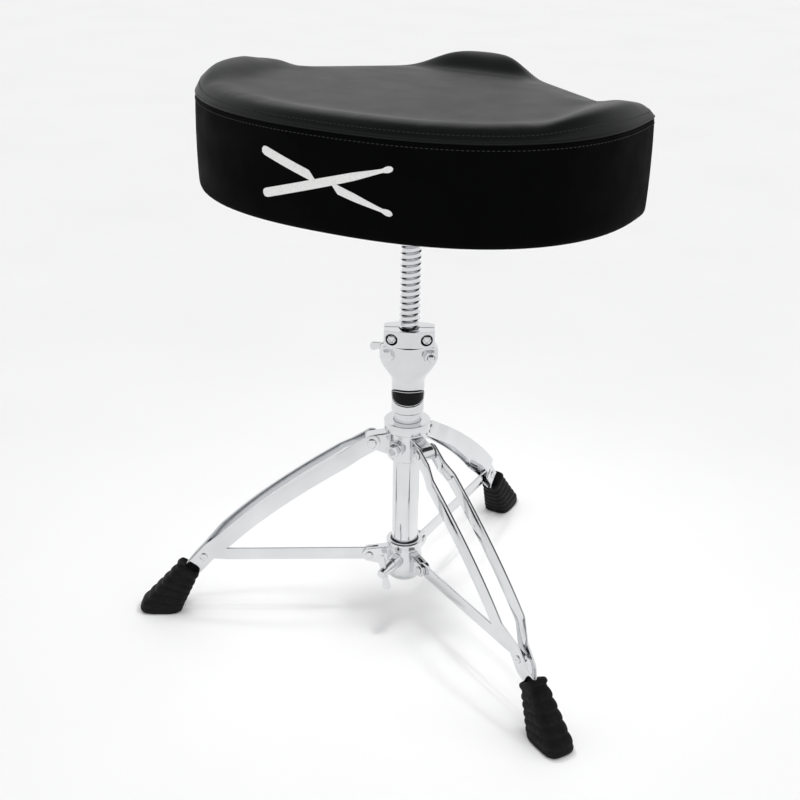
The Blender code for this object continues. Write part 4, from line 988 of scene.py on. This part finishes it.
def cushion_rings():
    """Closed rings of the cushion from its hidden foot up over the shoulder to the middle."""
    side = ((0.01, 0.5504), (0.0022, 0.5508), (0.0018, 0.556), (0.0018, 0.58), (0.0018, 0.605),
            (0.0018, 0.628), (0.0016, SEAM_Z - 0.0035))
    rings = [seat_ring(depth, z) for depth, z in side]
    for depth in (0.0004, 0.0009, 0.0016, 0.0026, 0.0038, 0.0052, 0.0068, 0.0086, 0.0106, 0.0128, 0.0152,
                  TOP_EDGE):
        spots = OUTLINE + INWARD * depth
        rise = seat_rise(spots[:, 0], spots[:, 1], np.full(len(spots), depth - 0.0004))
        rings.append(np.column_stack([spots, SEAM_Z + rise]))
    edge = OUTLINE + INWARD * TOP_EDGE
    for k in range(1, 33):
        spots = edge * (1 - k / 33)
        rise = seat_rise(spots[:, 0], spots[:, 1], edge_distance(spots))
        rings.append(np.column_stack([spots, SEAM_Z + rise]))
    return rings


def puffed(bm):
    """Inflates a copy of the foam as cloth and brings its swelling back to the clean mesh."""
    source = bm.copy()
    blank = scratch_object(source)
    remesh = blank.modifiers.new("remesh", "REMESH")
    remesh.mode = "VOXEL"
    remesh.voxel_size = 0.0055
    rest = evaluated(blank)
    pad = scratch_object(rest)
    start = np.array([v.co for v in pad.data.vertices])
    faces = [tuple(p.vertices) for p in pad.data.polygons]
    held = pad.vertex_groups.new(name="held")
    edge = edge_distance(start[:, :2])
    for i, (z, near) in enumerate(zip(start[:, 2], edge)):
        if z < SEAM_Z + 0.001 or near < 0.006:
            held.add([i], 1.0, "REPLACE")
    cloth = pad.modifiers.new("cloth", "CLOTH")
    cloth.settings.vertex_group_mass = "held"
    cloth.settings.use_pressure = True
    cloth.settings.uniform_pressure_force = 4.0
    cloth.settings.tension_stiffness = 25
    cloth.settings.compression_stiffness = 25
    cloth.settings.bending_stiffness = 2.0
    cloth.settings.effector_weights.gravity = 0
    cloth.collision_settings.use_collision = False
    cloth.collision_settings.use_self_collision = False
    cloth.point_cache.frame_start, cloth.point_cache.frame_end = 1, 20
    scene = bpy.context.scene
    for step in range(1, 21):
        scene.frame_set(step)
    swollen = pad.evaluated_get(bpy.context.evaluated_depsgraph_get())
    end = np.array([v.co for v in swollen.to_mesh().vertices])
    swollen.to_mesh_clear()
    scene.frame_set(1)
    mesh = pad.data
    bpy.data.objects.remove(pad)
    bpy.data.meshes.remove(mesh)
    push = end - start
    size = np.linalg.norm(push, axis=1)
    cap = 0.0035
    push *= (cap * np.tanh(size / cap) / np.maximum(size, 1e-9))[:, None]
    tree = BVHTree.FromPolygons([tuple(p) for p in start], faces)
    bm.verts.ensure_lookup_table()
    for vert in bm.verts:
        if vert.co.z < SEAM_Z:
            continue
        spot, _, index, _ = tree.find_nearest(vert.co)
        corners = faces[index]
        weights = [1 / ((Vector(start[c]) - spot).length + 0.0005) ** 2 for c in corners]
        total = sum(weights)
        shift = sum((Vector(push[c]) * w for c, w in zip(corners, weights)), Vector()) / total
        hold = smoothstep(edge_distance(np.array([vert.co[:2]]))[0] / 0.03)
        vert.co += shift * hold
    for _ in range(4):
        bmesh.ops.smooth_vert(bm, verts=[v for v in bm.verts if v.co.z > SEAM_Z + 0.004], factor=0.5,
                              use_axis_x=True, use_axis_y=True, use_axis_z=True)
    return bm


def swept(profile):
    """A closed profile of (inward, height) carried round the seat's outline."""
    return wrapped([seat_ring(inward, z) for inward, z in profile])


def band_face(z):
    """How far in from the outline the band's face is at a height."""
    low, high = 0.542, SEAM_Z - 0.0015
    share = min(1.0, max(0.0, (z - low) / (high - low)))
    return 0.0002 - 0.0014 * sin(pi * share) ** 0.6


def build_band():
    top = SEAM_Z - 0.0012
    face = [(band_face(z), z) for z in np.linspace(0.543, top - 0.0012, 26)]
    under = [(0.0185, 0.5374), (0.019, 0.5368), (0.0185, 0.5362), (0.012, 0.536), (0.006, 0.5362),
             (0.0032, 0.5371), (0.0014, 0.5387), (0.0005, 0.5408)]
    lip = [(0.0005, top - 0.0004), (0.0012, top + 0.0001), (0.002, top - 0.0003), (0.0022, top - 0.002)]
    inside = [(0.0022, 0.544), (0.003, 0.54), (0.0052, 0.5378), (0.01, 0.5374)]
    piece("seat_band", swept(under + face + lip + inside), "black_band", "seat", ["seat_side_band"])

    welt = [(0.0006 + 0.0011 * cos(a), SEAM_Z + 0.0002 + 0.0011 * sin(a))
            for a in (tau * k / 10 for k in range(10))]
    piece("seat_seam_fold", swept(welt), "black_vinyl", "seat", [])


def outline_at(run):
    """Place, inward and along directions at a distance round the outline from the rear's middle."""
    spot = (run / PERIMETER) % 1.0 * len(OUTLINE)
    i, share = int(spot) % len(OUTLINE), spot - int(spot)
    j = (i + 1) % len(OUTLINE)
    return ((1 - share) * OUTLINE[i] + share * OUTLINE[j], (1 - share) * INWARD[i] + share * INWARD[j],
            (1 - share) * TANGENT[i] + share * TANGENT[j])


def stitch_rows(name, rows):
    """Short thread capsules along the outline; a row gives the distance in, height and outward lean."""
    bm = bmesh.new()
    length, gap = 0.0034, 0.0013
    count = int(PERIMETER / (length + gap))
    rings, sides = 5, 6
    for inward, height, normal in rows:
        for k in range(count):
            place, inside, along = outline_at(PERIMETER * k / count)
            spot = place + inside * inward
            rise = seat_rise(spot[:1], spot[1:2], np.array([inward - 0.0004]))
            z = height if height else SEAM_Z + float(rise[0])
            centre = Vector((*spot, z))
            forward = Vector((*along, 0)).normalized()
            out = Vector((-inside[0] * normal[0], -inside[1] * normal[0], normal[1])).normalized()
            other = forward.cross(out)
            loops = []
            for r in range(rings):
                t = -1 + 2 * r / (rings - 1)
                thick = 0.00048 * sqrt(max(0.12, 1 - t * t))
                mid = centre + forward * (t * length / 2) - out * (0.00022 * t * t)
                loops.append([bm.verts.new(mid + (out * cos(a) + other * sin(a)) * thick)
                              for a in (tau * s / sides for s in range(sides))])
            capped(bm, loops)
    piece(name, bm, "thread", "seat", crease=80)


def build_stitches():
    down = SEAM_Z - 0.0062
    stitch_rows("seat_stitches_lower", [(band_face(down) - 0.0002, down, (1.0, 0.0))])
    stitch_rows("seat_stitches_upper", [(0.0046, None, (0.6, 0.8))])


def build_seat():
    bm = fan_closed(cushion_rings())
    bm = puffed(bm)
    cushion = piece("seat_cushion", bm, "black_vinyl", "seat", ["seat_foam", "seat_top_cover"], crease=60)
    build_band()
    build_stitches()
    build_underside()
    build_mark()


def build_underside():
    """Dust cloth with its staples, plywood base, steel plate with socket, screws and the key bolt."""
    hem = ((0.0205, 0.538), (0.016, 0.5379), (0.014, 0.5372), (0.0136, 0.536), (0.014, 0.5354),
           (0.015, 0.5352), (0.0185, 0.5354), (0.024, 0.5364), (0.032, 0.5371))
    rings = [seat_ring(depth, z) for depth, z in hem]
    edge = OUTLINE + INWARD * TOP_EDGE
    for share in (0.75, 0.6, 0.45, 0.3, 0.15):
        spots = edge * share
        rings.append(np.column_stack([spots, np.full(len(spots), 0.5372)]))
    piece("seat_dust_cloth", fan_closed(rings), "dust_cloth", "seat", ["seat_bottom_cover"])

    board = ((0.0068, 0.5386), (0.0062, 0.5392), (0.0062, 0.549), (0.0068, 0.5496))
    board = fan_closed([seat_ring(depth, z) for depth, z in board])
    piece("seat_plywood_base", board, "plywood", "seat", ["seat_board"])

    bm = bmesh.new()
    count = 44
    for k in range(count):
        place, inside, along = outline_at(PERIMETER * (k + 0.5) / count)
        lean = 0.35 * sin(k * 2.4)
        forward = Vector((*(along * cos(lean) + inside * sin(lean)), 0)).normalized()
        centre = Vector((*(place + inside * (0.0168 + 0.0012 * sin(k * 1.7))), 0.5351))
        side = Vector((0, 0, 1)).cross(forward)
        wire = []
        for t, drop in ((-1, 0.0012), (-0.97, 0.0002), (-0.9, 0), (0.9, 0), (0.97, 0.0002), (1, 0.0012)):
            mid = centre + forward * (0.0055 * t) + Vector((0, 0, drop))
            wire.append([bm.verts.new(mid + side * (0.0006 * cos(a)) + Vector((0, 0, 0.00028 * sin(a))))
                         for a in (tau * s / 6 for s in range(6))])
        capped(bm, wire)
    piece("seat_staples", bm, "zinc", "seat", [])

    low, high, half = 0.5337, 0.5367, 0.054
    foot, bore = 0.512, 0.0115
    corners = [(half, half, 0.014), (-half, half, 0.014), (-half, -half, 0.014), (half, -half, 0.014)]
    base = softened(prism(rounded(corners), low, high), 0.0008)
    sleeve = [(bore, foot), (0.0165, foot), (0.0175, 0.513), (0.0175, low - 0.0045),
              (0.019, low - 0.0018), (0.0215, low + 0.0006), (bore, low + 0.0006)]
    sleeve = turned(eased(sleeve, 0.0006, closed=True), 72, True)
    piece("seat_socket_plate", merged(base, sleeve), "zinc", "seat", ["seat_mount_plate"])

    height = (foot + low) / 2 - 0.001
    reach = 0.0178
    shank = reach - bore
    lock = [(0, -shank), (0.003, -shank), (0.0039, -shank + 0.001), (0.0039, 0), (0.0062, 0),
            (0.0062, 0.0026), (0.0056, 0.0032), (0.0031, 0.0034), (0.0029, 0.0038, 4), (0.0029, 0.0092, 4),
            (0.0026, 0.01, 4), (0, 0.01)]
    key_bolt = moved(turned(lock, 64), 90, "X", (0, -reach, height))
    piece("seat_key_bolt", key_bolt, "chrome", "seat", ["seat_lock_bolt"])
    spots = [(x, y) for x in (-0.04, 0.04) for y in (-0.04, 0.04)]
    for number, (x, y) in enumerate(spots, 1):
        head = [(0, low - 0.003), (0.0042, low - 0.0026), (0.0058, low - 0.0012), (0.0058, low),
                (0.003, low), (0.003, 0.544), (0, 0.5445)]
        screw = turned(eased(head, 0.0006), 40)
        cross = [(-0.0028, -0.0005), (0.0028, -0.0005), (0.0028, 0.0005), (-0.0028, 0.0005)]
        slots = [moved(prism(cross, low - 0.004, low - 0.0016), turn + 30 * number) for turn in (20, 110)]
        piece(f"seat_screw_{number}", cut_out(scratch_object(screw), slots), "zinc", "seat",
              [f"seat_mount_screw_{number}"], at=(x, y, 0))


def drumstick(length, butt):
    """Half the outline of a drumstick along x, its butt at the left, as (x, half width)."""
    half = length / 2
    return [(-half, 0.0), (-half + butt * 0.25, butt * 0.72), (-half + butt, butt), (0.0, butt * 0.97),
            (half * 0.45, butt * 0.85), (half * 0.8, butt * 0.45), (half * 0.86, butt * 0.42),
            (half * 0.9, butt * 0.62), (half * 0.94, butt * 0.68), (half * 0.98, butt * 0.5), (half, 0.0)]


def stick_patch(length, butt, angle, skip, surface):
    """Thin raised print in the shape of a drumstick, laid on a surface by (across, up, lift)."""
    side = drumstick(length, butt)
    lean = 1 / tan(radians(2 * angle))
    xs = sorted(set(np.linspace(-length / 2, length / 2, 81)) | {p[0] for p in side} | {-skip, skip})
    half_width = [float(np.interp(x, [p[0] for p in side], [p[1] for p in side])) for x in xs]
    level, rise = cos(radians(angle)), sin(radians(angle))
    runs = [[], []] if skip else [[]]
    for x, wide in zip(xs, half_width):
        if abs(x) >= skip:
            runs[0 if x < 0 or not skip else 1].append((x, max(wide, 0.00025)))
    section = ((-1, 0), (-1, 1), (-0.5, 1), (0, 1), (0.5, 1), (1, 1), (1, 0), (0.5, 0), (0, 0), (-0.5, 0))
    shapes = []
    for run in runs:
        rings = []
        for x, wide in run:
            slant = lean * smoothstep(1 - (abs(x) - skip) / 0.024) if skip else 0.0
            ring = []
            for t, lift in section:
                along, off = x + wide * t * slant, wide * t
                ring.append(surface(along * level - off * rise, along * rise + off * level, lift))
            rings.append(ring)
        shapes.append(lofted(rings))
    return merged(*shapes)


def build_mark():
    """Crossed drumsticks printed in white on the back of the band."""
    def on_band(across, up, lift):
        place, inside, _ = outline_at(across)
        z = 0.5885 + up
        spot = place + inside * (band_face(z) - (0.00035 if lift else -0.0002))
        return (spot[0], spot[1], z)
    over = stick_patch(0.152, 0.0046, 17, 0.0, on_band)
    under = stick_patch(0.152, 0.0046, -17, 0.0115, on_band)
    piece("seat_drumstick_print", merged(over, under), "white_print", "seat", crease=60)


# ---------------------------------------------------------------- studio

def build_studio():
    scene = bpy.context.scene
    floor_bm = turned([(0, -0.0004), (14.0, -0.0004)], 96)
    mesh = bpy.data.meshes.new("studio_floor")
    floor_bm.to_mesh(mesh)
    floor_bm.free()
    floor = bpy.data.objects.new("studio_floor", mesh)
    scene.collection.objects.link(floor)
    paper = Shader("studio_paper", (0.86, 0.86, 0.86), 0.6)
    paper.tinted(paper.noise(3, 3), (0.86, 0.86, 0.86), (0.84, 0.84, 0.845))
    mesh.materials.append(paper.material)

    world = scene.world or bpy.data.worlds.new("studio")
    scene.world = world
    world.use_nodes = True
    tree = world.node_tree
    tree.nodes.clear()
    out = tree.nodes.new("ShaderNodeOutputWorld")
    background = tree.nodes.new("ShaderNodeBackground")
    coords = tree.nodes.new("ShaderNodeTexCoord")
    split = tree.nodes.new("ShaderNodeSeparateXYZ")
    ramp_node = tree.nodes.new("ShaderNodeValToRGB")
    tree.links.new(coords.outputs["Generated"], split.inputs["Vector"])
    tree.links.new(split.outputs["Z"], ramp_node.inputs["Fac"])
    stops = ramp_node.color_ramp
    stops.elements[0].position, stops.elements[1].position = 0.0, 1.0
    for position in (0.3, 0.64, 0.74, 0.9):
        stops.elements.new(position)
    for stop, level in zip(stops.elements, (0.92, 0.98, 0.94, 0.05, 0.03, 0.12)):
        stop.color = (level, level, level * 1.005, 1)
    tree.links.new(ramp_node.outputs["Color"], background.inputs["Color"])
    tree.links.new(background.outputs["Background"], out.inputs["Surface"])

    sun = bpy.data.lights.new("overhead", "SUN")
    sun.energy, sun.angle = 1.85, radians(75)
    lamp = bpy.data.objects.new("overhead", sun)
    scene.collection.objects.link(lamp)
    lamp.rotation_euler = (radians(-5), radians(4), 0)
    lamp.visible_glossy = False
    scene.view_settings.view_transform = "Standard"
    build_fill()


def build_fill():
    """A soft disc below the seat, so that the floor under it stays pale and the legs shade it."""
    light = bpy.data.lights.new("under_seat", "AREA")
    light.shape = "DISK"
    light.size = 0.07
    light.energy = 1.75
    obj = bpy.data.objects.new("under_seat", light)
    bpy.context.scene.collection.objects.link(obj)
    obj.location = (0, COLUMN_Y, 0.508)
    obj.visible_camera = False
    obj.visible_glossy = False


def build_camera():
    scene = bpy.context.scene
    data = bpy.data.cameras.new("camera")
    data.sensor_width = 36.0
    data.lens = 57.19
    camera = bpy.data.objects.new("camera", data)
    scene.collection.objects.link(camera)
    pitch, yaw, roll, turn = 0.43138, -0.00671, 0.02076, radians(CLAMP_TURN)
    ahead = Vector((sin(yaw) * cos(pitch), cos(yaw) * cos(pitch), -sin(pitch)))
    ahead.rotate(Matrix.Rotation(turn, 3, "Z"))
    across = ahead.cross(Vector((0, 0, 1))).normalized()
    up = across.cross(ahead)
    right = cos(roll) * across + sin(roll) * up
    above = -sin(roll) * across + cos(roll) * up
    frame_axes = Matrix((right, above, -ahead)).transposed().to_4x4()
    place = (0.623, COLUMN_Y - 1.1967, 0.9078)
    camera.matrix_world = Matrix.Translation(place) @ frame_axes
    data.clip_start, data.clip_end = 0.05, 60
    scene.camera = camera


def finish_cad_nodes():
    """The CAD pieces that still show get their finish."""
    looks = {"thread_insert": "brass", "rod_guide_bush": "nylon", "lower_bracket_bush": "nylon"}
    for node, look in looks.items():
        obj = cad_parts[node]
        obj.data.materials.clear()
        obj.data.materials.append(LOOK[look])


build_camera()
build_studio()
build_column()
build_legs()
build_bracket()
build_struts()
build_clamp()
build_lock()
build_rod()
build_seat()
finish_cad_nodes()
